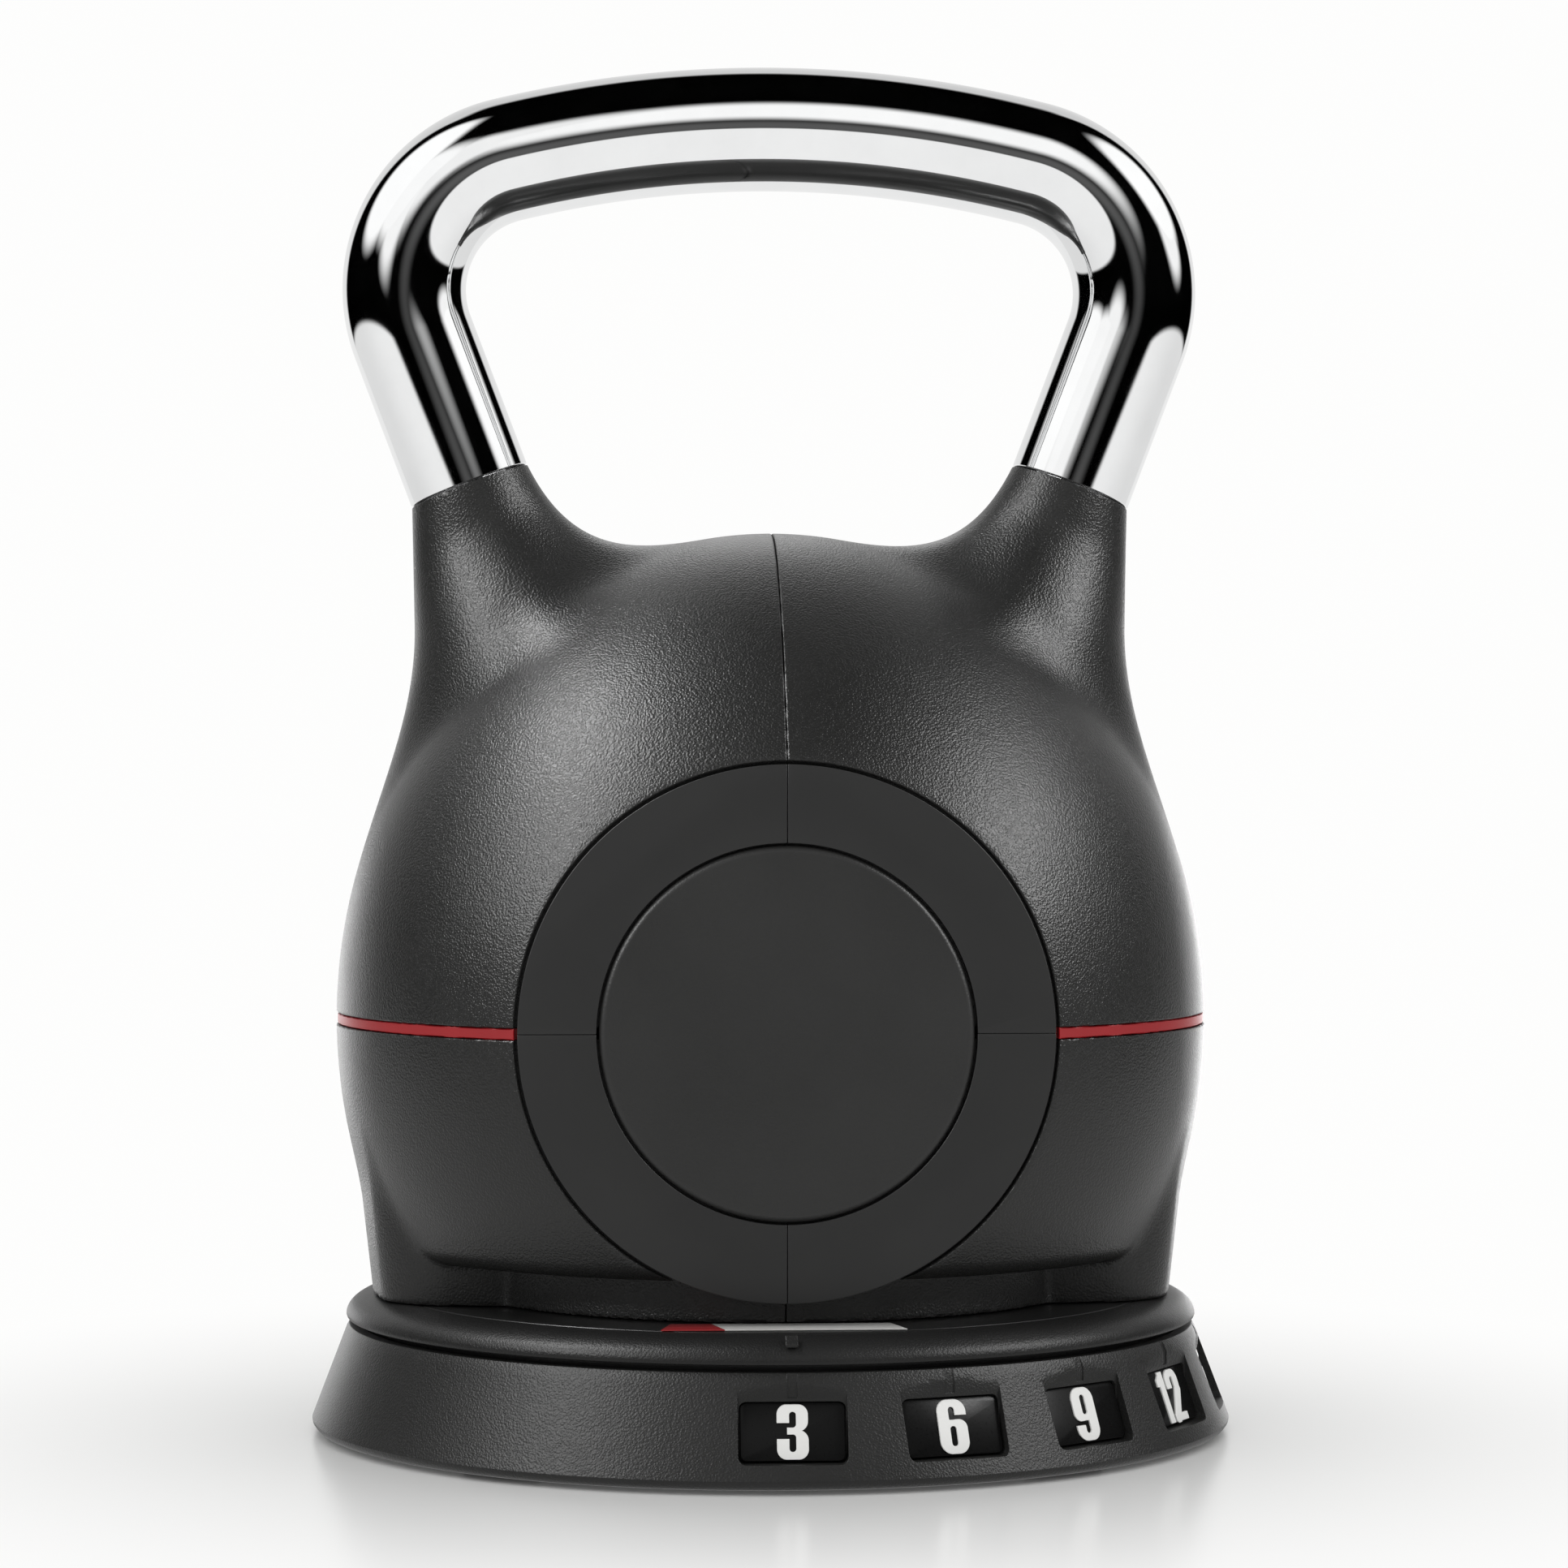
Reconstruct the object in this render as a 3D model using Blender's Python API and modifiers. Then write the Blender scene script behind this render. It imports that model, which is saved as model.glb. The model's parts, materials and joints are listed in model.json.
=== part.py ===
"""Adjustable kettlebell standing on its numbered dock.

Run with: blender --background --python part.py
The scene is in metres, +Z is up, the front faces -Y and the dock stands on z = 0.
Lengths in this script are millimetres, and the makers below turn them into metres.

The kettlebell is turned by its handle on the dock's turntable. A shaft inside it is
held still by the dock's post, so its lugs move under one weight plate after another.
"""
import math

import bmesh
import bpy
from mathutils import Matrix, Vector

MM = 0.001
GAP = 0.3
FAR = 150.0

# Sides of a round part, from the largest to the smallest
FINE = 64
ROUND = 40
SMALL = 24
TINY = 12

# Dock
DOCK_HEIGHT = 26.2
DOCK_TOP_RADIUS = 103.5
DOCK_BASE_RADIUS = 112.3
DOCK_BASE_LEVEL = 1.0
DOCK_BASE_ROUND = 2.2
DOCK_WALL = 3.4
DOCK_DECK = (20.6, 22.6)
DOCK_LIP = 2.6
HUB_HOLE = 9.0
BASE_PLATE = (2.2, 4.8)
BASE_PLATE_RADIUS = (108.6, 107.6)

# Number windows
NUMBERS = (3, 6, 9, 12, 15)
NUMBER_PITCH = 20.0
WINDOW_WIDTH = 24.0
WINDOW_HEIGHTS = (6.9, 19.9)
WINDOW_CORNER = 1.8
WINDOW_FACE = 104.5
WINDOW_BACK = 99.0
WINDOW_FRAME = 3.0
POCKET_MARGIN = 0.15
TILE_FRONT = 105.9
TILE_DEPTH = 1.5
TILE_SLOPE = 0.35

# Screws and feet under the dock
BASE_SCREWS = 4
BASE_SCREW_RADIUS = 72.0
SCREW_HEIGHTS = (0.5, 1.9, 19.0)
SCREW_RADII = (4.0, 2.0)
SCREW_HOLE = 2.3
BOSS_RADIUS = 5.0
BOSS_LOW = 5.2
FOOT_RADIUS = 9.0
FOOT_HEIGHT = 1.9
FOOT_SPREAD = 92.0

# Turntable
DECK_TOP = 33.6
DECK_RADIUS = 92.0
DECK_THICKNESS = 4.0
DECK_HOLE = 8.0
SKIRT = (99.2, 24.6)
RIM_RADIUS = 104.0
RIM_LOW = 27.7
RIM_SHOULDER = 94.8
RIM_FOOT = 0.6
SLIDE_RING = (78.0, 90.0, 22.9, 24.7)
PEG_X = 88.0
PEG_RADIUS = 4.0
PEG_TOP = 41.0
LABEL = ((-29.0, -88.0), (27.0, -88.0), (24.0, -77.0), (-26.5, -77.0))
LABEL_HEIGHTS = (0.1, 0.35)
POINTER_SIZE = (3.0, 3.6, 1.0)
POINTER_AT = (0.0, -101.6, 32.9)
POINTER_SLOPE = math.radians(32.0)

# Detent
DETENT_RADIUS = 60.0
DETENT_ANGLE = 90.0
DIMPLE_DEPTH = 1.4
DIMPLE_RADII = (5.2, 2.0)
PIN_RADIUS = 4.0
PIN_LOW = 15.4
SPRING_RADIUS = 3.2
SPRING_WIRE = 0.6
SPRING_TURNS = 4
SPRING_HEIGHTS = (6.0, 14.4)

# Post that the turntable and the selector shaft turn round
POST_SQUARE = 8.4
POST_SQUARE_HEIGHTS = (30.0, 50.0)
POST_RADIUS = 7.4
POST_GROOVE = 6.5
POST_FLANGE = (22.0, 25.6)
POST_TOP = 36.3
POST_LOW = 8.0
CLIP = (6.9, 12.0, 1.3)
POST_NUT = (16.0, 12.0)

# Weight plates
PLATE_COUNT = 4
PLATE_RADIUS = 66.5
PLATE_THICKNESS = 29.6
PLATE_PITCH = 29.9
PLATE_LOW = 34.6
PLATE_HOLE = 12.5
PLATE_RECESS = (22.5, 7.0)
PLATE_PEG_X = 40.0
PLATE_PEG_RADIUS = 4.0
PLATE_PEG_HEIGHT = 3.5
RAIL = (4.0, 61.9, 66.4, 38.0)
RAIL_GAP = 0.6

# Selector shaft
SHAFT_RADIUS = 9.0
SHAFT_TOP = 203.0
SHAFT_SOCKET_TOP = 53.0
SHAFT_NUT = (14.0, 194.6, 200.6)
LUG_REACH = 20.6
LUG_WIDTH = 4.8
LUG_HEIGHTS = (2.1, 6.7)
LUG_PLAY = (0.9, 0.5)

# Kettlebell body
BALL_CENTRE = 100.5
BALL = (106.3, 102.5, 118.0)
BALL_LOW = 42.0
WALL = 4.0
FACE = 83.4
SEAT = 79.6
SEAT_WALL = 3.1
SEAT_RADIUS = 62.4
RING_OUTER = 61.4
RING_DROP = 0.2
CAP_RADIUS = 42.7
CAP_GAP = 0.8
CAP_CROWN = 0.4
BODY_LOW = 33.9
DRUM_RADIUS = 76.0
BORE_RADIUS = 68.0
BORE_TOP = 60.0
FOOT_PLAN = ((60.0, 44.0), (78.0, 42.5), (86.0, 38.5), (93.3, 30.5), (96.6, 15.0), (97.6, 0.0))
FOOT_TOP = 64.0
SEAM = 0.15
TRIM_HALF = 1.3
TRIM_GAP = 0.2
TRIM_DROP = 0.4

# Handle
TUBE_RADIUS = 15.1
TUBE_WALL = 2.8
BAR_TOP = 318.65
BAR_ARC = 270.0
BEND_RADIUS = 33.0
BEND_X = 57.0
LEG_TILT = math.radians(20.8)
CUT_LEVEL = 230.4
HORN_LENGTH = 60.0

# Parts on the handle's legs, as distances down the leg from the horn's end
CORE_RADIUS = 12.0
CORE = (-32.0, 48.2)
CORE_THREAD = (4.4, 26.0)
SLEEVE = (16.0, 25.0, 52.0)
SOCKET = (10.0, 48.5)
BOLT = (28.0, 24.3, 29.0)
BOLT_RADII = (4.0, 6.5)

# Frame between the legs, and the selector's bearing in it
HUB_RADIUS = 18.0
HUB_TOP = 192.0
FRAME_BAR = ((-46.0, -12.0, 178.0), (46.0, 12.0, 190.0))
FRAME_BORE = 11.4
CAGE_PLATE = (160.0, 163.0)
BUSH = (11.1, 191.7)
WASHER = (15.0, 192.3, 194.3)

FINISHES = {
    "shell_black": ((0.035, 0.035, 0.034), 0.50, 0.0),
    "ring_black": ((0.030, 0.030, 0.030), 0.42, 0.0),
    "chrome": ((0.80, 0.80, 0.81), 0.06, 1.0),
    "trim_red": ((0.42, 0.02, 0.025), 0.45, 0.0),
    "dock_black": ((0.040, 0.040, 0.039), 0.55, 0.0),
    "tile_black": ((0.012, 0.012, 0.012), 0.40, 0.0),
    "label_white": ((0.75, 0.75, 0.73), 0.50, 0.0),
    "plate_steel": ((0.09, 0.09, 0.095), 0.60, 0.6),
    "steel": ((0.55, 0.55, 0.56), 0.35, 1.0),
    "frame_iron": ((0.16, 0.16, 0.17), 0.55, 0.8),
    "bearing_plastic": ((0.70, 0.69, 0.64), 0.45, 0.0),
    "rubber": ((0.015, 0.015, 0.015), 0.85, 0.0),
}
SIDES = ((-1, "left"), (1, "right"))
FACES = ((-1, "front"), (1, "back"))


# --------------------------------------------------------------------- makers


def clear_scene():
    for obj in list(bpy.data.objects):
        bpy.data.objects.remove(obj)


def new_collection(name):
    collection = bpy.data.collections.new(name)
    bpy.context.scene.collection.children.link(collection)
    return collection


def new_finish(slot):
    colour, roughness, metallic = FINISHES[slot]
    material = bpy.data.materials.new(slot)
    material.use_nodes = True
    shader = material.node_tree.nodes["Principled BSDF"]
    shader.inputs["Base Color"].default_value = (*colour, 1.0)
    shader.inputs["Roughness"].default_value = roughness
    shader.inputs["Metallic"].default_value = metallic
    return material


def place(name, mesh, slot):
    """Link a mesh as a part with a finish, or as a cutter where slot is None."""
    obj = bpy.data.objects.new(name, mesh)
    if slot is None:
        CUTTERS.objects.link(obj)
        obj.hide_render = True
        obj.display_type = "WIRE"
    else:
        PARTS.objects.link(obj)
        mesh.materials.append(MATERIALS[slot])
    return obj


def mesh_from(bm, name):
    mesh = bpy.data.meshes.new(name)
    bm.to_mesh(mesh)
    bm.free()
    return mesh


def cylinder(name, radius, low, high, slot=None, at=(0.0, 0.0), sides=SMALL, top_radius=None):
    """A bar, disc or cone standing on z = low."""
    bm = bmesh.new()
    end = radius if top_radius is None else top_radius
    bmesh.ops.create_cone(
        bm, cap_ends=True, segments=sides, radius1=radius * MM, radius2=end * MM, depth=(high - low) * MM
    )
    obj = place(name, mesh_from(bm, name), slot)
    obj.location = Vector((at[0], at[1], (low + high) / 2)) * MM
    return obj


def box(name, low, high, slot=None):
    """A block between two corners."""
    bm = bmesh.new()
    size = Vector(high) - Vector(low)
    bmesh.ops.create_cube(bm, size=1.0, matrix=Matrix.Diagonal((*(size * MM), 1.0)))
    obj = place(name, mesh_from(bm, name), slot)
    obj.location = (Vector(high) + Vector(low)) / 2 * MM
    return obj


def box_on_side(name, side, half_width, near, far, heights, slot=None):
    """A block in front of (side -1) or behind (side 1) the axis, between two distances from it."""
    ys = sorted((side * near, side * far))
    low, high = heights
    return box(name, (-half_width, ys[0], low), (half_width, ys[1], high), slot)


def turned(name, profile, slot=None, sides=FINE, ring=True):
    """A profile of (radius, height) turned about Z; ring=False is one that starts and ends on the axis."""
    bm = bmesh.new()
    points = [bm.verts.new((radius * MM, 0.0, height * MM)) for radius, height in profile]
    for first, second in zip(points, points[1:]):
        bm.edges.new((first, second))
    if ring:
        bm.edges.new((points[-1], points[0]))
    obj = place(name, mesh_from(bm, name), slot)
    screw = obj.modifiers.new("turn", "SCREW")
    screw.steps = sides
    screw.render_steps = sides
    screw.use_merge_vertices = True
    screw.merge_threshold = 0.00001
    screw.use_smooth_shade = True
    return obj


def washer(name, inner, outer, low, high, slot, sides=SMALL):
    """A flat ring."""
    return turned(name, [(outer, high), (outer, low), (inner, low), (inner, high)], slot, sides=sides)


def combine(obj, other, operation="DIFFERENCE"):
    modifier = obj.modifiers.new(operation.lower(), "BOOLEAN")
    modifier.operation = operation
    modifier.solver = "EXACT"
    modifier.object = other
    return obj


def round_edges(obj, width, segments=2, angle=30.0):
    bevel = obj.modifiers.new("round", "BEVEL")
    bevel.width = width * MM
    bevel.segments = segments
    bevel.limit_method = "ANGLE"
    bevel.angle_limit = math.radians(angle)
    return obj


def spin(obj, degrees):
    """Turn an object that was placed on the front (-Y) side about the main axis."""
    turn = Matrix.Rotation(math.radians(degrees), 4, "Z")
    obj.matrix_world = turn @ obj.matrix_basis
    return obj


def round_spot(radius, degrees):
    """A point on the floor at an angle from the front."""
    return Matrix.Rotation(math.radians(degrees), 3, "Z") @ Vector((0.0, -radius * MM, 0.0))


def as_mesh(source, name, slot=None):
    """Turn a curve object into a welded mesh part or cutter."""
    bpy.context.view_layer.update()
    depsgraph = bpy.context.evaluated_depsgraph_get()
    mesh = bpy.data.meshes.new_from_object(source.evaluated_get(depsgraph))
    mesh.name = name
    mesh.materials.clear()
    bm = bmesh.new()
    bm.from_mesh(mesh)
    bmesh.ops.remove_doubles(bm, verts=bm.verts, dist=0.000001)
    bmesh.ops.recalc_face_normals(bm, faces=bm.faces)
    bm.to_mesh(mesh)
    bm.free()
    obj = place(name, mesh, slot)
    obj.matrix_world = source.matrix_world.copy()
    bpy.data.objects.remove(source)
    return obj


def prism(name, outline, low, high, slot=None):
    """A flat outline in plan, raised from z = low to z = high."""
    curve = bpy.data.curves.new(name, "CURVE")
    curve.dimensions = "2D"
    curve.fill_mode = "BOTH"
    curve.extrude = (high - low) / 2 * MM
    spline = curve.splines.new("POLY")
    spline.points.add(len(outline) - 1)
    spline.use_cyclic_u = True
    for point, (x, y) in zip(spline.points, outline):
        point.co = (x * MM, y * MM, 0.0, 1.0)
    source = bpy.data.objects.new(name + "_outline", curve)
    PARTS.objects.link(source)
    source.location.z = (low + high) / 2 * MM
    return as_mesh(source, name, slot)


def wire(name, route, radius, slot, resolution):
    """A curve object through (x, y, z) points, open at both ends."""
    curve = bpy.data.curves.new(name, "CURVE")
    curve.dimensions = "3D"
    curve.bevel_depth = radius * MM
    curve.bevel_resolution = resolution
    spline = curve.splines.new("POLY")
    spline.points.add(len(route) - 1)
    for point, spot in zip(spline.points, route):
        point.co = (*(Vector(spot) * MM), 1.0)
    curve.materials.append(MATERIALS[slot])
    obj = bpy.data.objects.new(name, curve)
    PARTS.objects.link(obj)
    return obj


# --------------------------------------------------------- handle and its legs


def bend_centre():
    """Height of the bend's centre, where its arc runs into the top bar's arc."""
    reach = BAR_ARC - BEND_RADIUS
    return BAR_TOP - BAR_ARC + math.sqrt(reach * reach - BEND_X * BEND_X)


def leg_point(side, along):
    """A point on a leg's axis, measured down from where the tube enters the horn."""
    tangent_x = BEND_X + BEND_RADIUS * math.cos(LEG_TILT)
    tangent_z = bend_centre() - BEND_RADIUS * math.sin(LEG_TILT)
    start = (tangent_z - CUT_LEVEL) / math.cos(LEG_TILT)
    x = tangent_x - (start + along) * math.sin(LEG_TILT)
    z = tangent_z - (start + along) * math.cos(LEG_TILT)
    return Vector((side * x, 0.0, z))


def lean(obj, side, along):
    """Stand an object that was made round the world's Z on a leg's axis, its z = 0 at that point."""
    turn = Matrix.Rotation(side * LEG_TILT, 4, "Y")
    obj.matrix_world = Matrix.Translation(leg_point(side, along) * MM) @ turn @ obj.matrix_basis
    return obj


def leg_bar(name, side, radius, upper, lower, slot=None, sides=SMALL, low_radius=None):
    """A bar or cone on a leg's axis between two distances below the horn's end."""
    end = radius if low_radius is None else low_radius
    bar = cylinder(name, end, upper - lower, 0.0, slot, sides=sides, top_radius=radius)
    return lean(bar, side, upper)


def handle_route():
    """The tube's centre line, from the left leg's end to the right one's."""
    bar_points, bend_points = 6, 8
    arc_middle = BAR_TOP - BAR_ARC
    spread = math.asin(BEND_X / (BAR_ARC - BEND_RADIUS))
    right = []
    for step in range(bar_points):
        angle = spread * step / (bar_points - 1)
        right.append(Vector((BAR_ARC * math.sin(angle), 0.0, arc_middle + BAR_ARC * math.cos(angle))))
    middle = Vector((BEND_X, 0.0, bend_centre()))
    turn = math.pi / 2 + LEG_TILT
    for step in range(1, bend_points):
        angle = spread + (turn - spread) * step / (bend_points - 1)
        right.append(middle + BEND_RADIUS * Vector((math.sin(angle), 0.0, math.cos(angle))))
    right.append(leg_point(1, -GAP))
    left = [Vector((-point.x, 0.0, point.z)) for point in reversed(right[1:])]
    return left + right


def make_handle():
    handle = wire("handle", handle_route(), TUBE_RADIUS, "chrome", resolution=6)
    wall = handle.modifiers.new("tube_wall", "SOLIDIFY")
    wall.thickness = TUBE_WALL * MM
    wall.offset = -1.0
    weld = handle.modifiers.new("weld", "WELD")
    weld.merge_threshold = 0.00001
    return handle


def make_handle_fixings():
    """A steel core in each leg, and the bolt that pulls it into the frame."""
    thread_radius, thread_start = CORE_THREAD
    start, head_start, head_end = BOLT
    shank, head = BOLT_RADII
    for side, hand in SIDES:
        core = leg_bar(f"handle_core_{hand}", side, CORE_RADIUS, *CORE, "steel", sides=20)
        thread = leg_bar(f"core_thread_{side}", side, thread_radius, thread_start, HORN_LENGTH, sides=TINY)
        combine(core, thread)
        profile = [
            (0.0, 0.0), (shank, 0.0), (shank, -head_start),
            (head, -head_start), (head, -head_end), (0.0, -head_end),
        ]
        bolt = turned(f"handle_bolt_{hand}", profile, "steel", sides=TINY, ring=False)
        lean(bolt, side, start)


# ------------------------------------------------------------------ shell body


def ellipsoid(name, radii, sides=36, rings=20):
    bm = bmesh.new()
    bmesh.ops.create_uvsphere(bm, u_segments=sides, v_segments=rings, radius=1.0)
    bmesh.ops.scale(bm, vec=Vector(radii) * MM, verts=bm.verts)
    obj = place(name, mesh_from(bm, name), None)
    obj.location.z = BALL_CENTRE * MM
    return obj


def foot_outline(side):
    """Plan of the foot on one side of the body."""
    back = [(x, -y) for x, y in reversed(FOOT_PLAN[:-1])]
    return [(side * x, y) for x, y in (*FOOT_PLAN, *back)]


def body_form(name, inset):
    """The ball with its two horns, or the same form drawn in by a wall thickness."""
    form = ellipsoid(name, [radius - inset for radius in BALL])
    combine(form, box(name + "_below", (-FAR, -FAR, -FAR), (FAR, FAR, BALL_LOW + inset)))
    spread = math.tan(LEG_TILT)
    start = 3 * inset
    for side, _ in SIDES:
        upper = TUBE_RADIUS + start * spread - inset
        lower = TUBE_RADIUS + HORN_LENGTH * spread - inset
        horn = leg_bar(f"{name}_horn_{side}", side, upper, start, HORN_LENGTH, low_radius=lower)
        combine(form, horn, "UNION")
    return form


def slab(name, half):
    """Everything between two planes at the same distance in front of and behind the axis."""
    return box(name, (-FAR, -half, -FAR), (FAR, half, 2 * FAR))


def make_forms():
    """The outside of the whole body, and the space inside it."""
    outer = body_form("body_form", 0.0)
    for side, _ in SIDES:
        combine(outer, prism(f"foot_form_{side}", foot_outline(side), BODY_LOW, FOOT_TOP), "UNION")
    combine(outer, cylinder("drum_form", DRUM_RADIUS, BODY_LOW, BORE_TOP, sides=ROUND), "UNION")
    combine(outer, slab("front_and_back", FACE), "INTERSECT")

    void = body_form("body_void", WALL)
    combine(void, cylinder("plate_bore", BORE_RADIUS, 0.0, BORE_TOP, sides=ROUND), "UNION")
    combine(void, slab("void_limits", SEAT - SEAT_WALL), "INTERSECT")
    return outer, void


def face_disc(name, side, radius, inner, outer, slot=None, sides=48):
    """A disc on the body's round front face (side -1) or back face (side 1)."""
    disc = cylinder(name, radius, inner, outer, slot, sides=sides)
    turn = Matrix.Rotation(-side * math.pi / 2, 4, "X")
    disc.matrix_world = Matrix.Translation((0, 0, BALL_CENTRE * MM)) @ turn @ disc.matrix_basis
    return disc


def make_shells(outer, void):
    """Four mouldings: the upper and lower halves, each parted at the middle."""
    seats = [face_disc(f"ring_seat_{side}", side, SEAT_RADIUS, SEAT, FAR) for side, _ in FACES]
    holes = []
    for side, _ in SIDES:
        at = (side * PEG_X, 0.0)
        holes.append(leg_bar(f"core_hole_{side}", side, CORE_RADIUS + GAP, -10.0, 40.0, sides=20))
        holes.append(cylinder(f"peg_hole_{side}", PEG_RADIUS + 0.5, 0.0, PEG_TOP + 1.0, at=at, sides=16))
    gap = TRIM_HALF + TRIM_GAP
    levels = {"upper": (BALL_CENTRE + gap, 2 * FAR), "lower": (0.0, BALL_CENTRE - gap)}
    for level, (low, high) in levels.items():
        for side, hand in SIDES:
            near, far = sorted((side * SEAM, side * FAR))
            shell = box(f"{level}_shell_{hand}", (near, -FAR, low), (far, FAR, high), "shell_black")
            combine(shell, outer, "INTERSECT")
            for cutter in (void, *seats, *holes):
                combine(shell, cutter)
    make_trim(void, seats)


def make_trim(void, seats):
    """The two halves of the red band between the shells, which lies just below their surface."""
    form = ellipsoid("trim_form", [radius - TRIM_DROP for radius in BALL])
    combine(form, slab("trim_faces", FACE - 0.1), "INTERSECT")
    low, high = BALL_CENTRE - TRIM_HALF, BALL_CENTRE + TRIM_HALF
    for side, hand in SIDES:
        near, far = sorted((side * SEAM, side * FAR))
        trim = box(f"red_trim_{hand}", (near, -FAR, low), (far, FAR, high), "trim_red")
        combine(trim, form, "INTERSECT")
        for cutter in (void, *seats):
            combine(trim, cutter)


def make_faces():
    """The ring of four panels and the round cap on the front and on the back."""
    quarters = (("upper_left", -1, 1), ("upper_right", 1, 1), ("lower_left", -1, -1), ("lower_right", 1, -1))
    for side, face in FACES:
        for corner, across, up in quarters:
            name = f"{face}_ring_{corner}"
            panel = face_disc(name, side, RING_OUTER, SEAT + GAP, FACE - RING_DROP, "ring_black")
            combine(panel, face_disc(f"{name}_hole", side, CAP_RADIUS + CAP_GAP, SEAT - 5.0, FACE + 5.0))
            xs = sorted((across * 0.2, across * FAR))
            zs = sorted((up * 0.2, up * FAR))
            low = (xs[0], -FAR, BALL_CENTRE + zs[0])
            high = (xs[1], FAR, BALL_CENTRE + zs[1])
            combine(panel, box(f"{name}_quarter", low, high), "INTERSECT")
        make_cap(side, face)


def make_cap(side, face):
    front = FACE + CAP_CROWN
    profile = [
        (0.0, front), (CAP_RADIUS * 0.6, front - 0.1), (CAP_RADIUS - 1.2, front - 0.4),
        (CAP_RADIUS - 0.3, front - 0.9), (CAP_RADIUS, front - 1.6),
        (CAP_RADIUS, SEAT + GAP), (0.0, SEAT + GAP),
    ]
    cap = turned(f"{face}_cap", profile, "ring_black", sides=ROUND, ring=False)
    turn = Matrix.Rotation(-side * math.pi / 2, 4, "X")
    cap.matrix_world = Matrix.Translation((0, 0, BALL_CENTRE * MM)) @ turn
    return cap


# ------------------------------------------------------------- inside the body


def make_frame():
    """The casting that ties both handle legs to the selector's bearing."""
    frame = cylinder("inner_frame", HUB_RADIUS, CAGE_PLATE[1] + GAP, HUB_TOP, "frame_iron")
    combine(frame, box("frame_bar", *FRAME_BAR), "UNION")
    for side, _ in SIDES:
        combine(frame, leg_bar(f"frame_sleeve_{side}", side, *SLEEVE, sides=20), "UNION")
    for side, _ in SIDES:
        combine(frame, leg_bar(f"frame_socket_{side}", side, CORE_RADIUS + GAP, *SOCKET, sides=20))
        bolt_hole = leg_bar(f"frame_bolt_hole_{side}", side, CORE_THREAD[0], 40.0, HORN_LENGTH, sides=TINY)
        combine(frame, bolt_hole)
    combine(frame, cylinder("frame_bore", FRAME_BORE, 0.0, 2 * FAR))
    return frame


def make_cage():
    """The plate and rails that keep the weight plates in line inside the body."""
    low, high = CAGE_PLATE
    cage = cylinder("cage_plate", PLATE_RADIUS, low, high, "steel", sides=ROUND)
    combine(cage, cylinder("cage_hole", PLATE_HOLE, low - 5.0, high + 5.0))
    half, near, far, rail_low = RAIL
    for side, face in FACES:
        box_on_side(f"guide_rail_{face}", side, half, near, far, (rail_low, low - GAP), "steel")


def make_bearing():
    """The bush and the washer that the selector shaft turns and hangs on."""
    bush_radius, bush_top = BUSH
    washer_radius, washer_low, washer_high = WASHER
    bore = SHAFT_RADIUS + GAP
    washer("shaft_bush", bore, bush_radius, CAGE_PLATE[1] + GAP, bush_top, "bearing_plastic")
    washer("thrust_washer", bore, washer_radius, washer_low, washer_high, "steel")


# -------------------------------------------------------- weights and selector


def plate_level(number):
    """Underside of a plate; plate 1 is the uppermost and the first to be picked up."""
    return PLATE_LOW + (PLATE_COUNT - number) * PLATE_PITCH


def make_plate(number):
    """A weight plate with a passage that leaves room for its lugs until its number is reached."""
    name = f"weight_plate_{number}"
    low = plate_level(number)
    high = low + PLATE_THICKNESS
    through = (low - 5.0, high + 5.0)
    plate = cylinder(name, PLATE_RADIUS, low, high, "plate_steel", sides=ROUND)
    recess_radius, recess_depth = PLATE_RECESS
    combine(plate, cylinder(f"{name}_recess", recess_radius, low - 5.0, low + recess_depth))
    combine(plate, cylinder(f"{name}_hole", PLATE_HOLE, *through))
    reach = LUG_REACH + LUG_PLAY[0]
    half = LUG_WIDTH / 2 + LUG_PLAY[1]
    for half_step in range(2 * number - 1):
        slot = box(f"{name}_slot_{half_step}", (-reach, -half, through[0]), (reach, half, through[1]))
        combine(plate, spin(slot, -half_step * NUMBER_PITCH / 2))
    half, near, *_ = RAIL
    peg_top = high + PLATE_PEG_HEIGHT
    socket_radius = PLATE_PEG_RADIUS + 0.5
    socket_top = low + PLATE_PEG_HEIGHT + 1.0
    for side in (-1, 1):
        notch = box_on_side(f"{name}_notch_{side}", side, half + RAIL_GAP, near - RAIL_GAP, FAR, through)
        combine(plate, notch)
        at = (side * PLATE_PEG_X, 0.0)
        socket = cylinder(f"{name}_socket_{side}", socket_radius, low - 5.0, socket_top, at=at, sides=TINY)
        combine(plate, socket)
        peg = cylinder(f"{name}_peg_{side}", PLATE_PEG_RADIUS, high - 2.0, peg_top, at=at, sides=TINY)
        combine(plate, peg, "UNION")
    return plate


def make_selector():
    """The shaft with a pair of lugs under each plate, and the nut that it hangs from."""
    bottom = PLATE_LOW + LUG_HEIGHTS[0]
    shaft = cylinder("selector_shaft", SHAFT_RADIUS, bottom, SHAFT_TOP, "steel")
    half = LUG_WIDTH / 2
    for number in range(1, PLATE_COUNT + 1):
        low, high = (plate_level(number) + height for height in LUG_HEIGHTS)
        if number == PLATE_COUNT:
            low -= 0.2
        lugs = box(f"lug_{number}", (-LUG_REACH, -half, low), (LUG_REACH, half, high))
        combine(shaft, lugs, "UNION")
    half = POST_SQUARE / 2 + GAP
    combine(shaft, box("shaft_socket", (-half, -half, 0.0), (half, half, SHAFT_SOCKET_TOP)))
    nut_radius, nut_low, nut_high = SHAFT_NUT
    nut = cylinder("shaft_nut", nut_radius, nut_low, nut_high, "steel", sides=6)
    combine(nut, cylinder("shaft_nut_hole", SHAFT_RADIUS + GAP, nut_low - 5.0, nut_high + 5.0))


# ------------------------------------------------------------------- turntable


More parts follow.
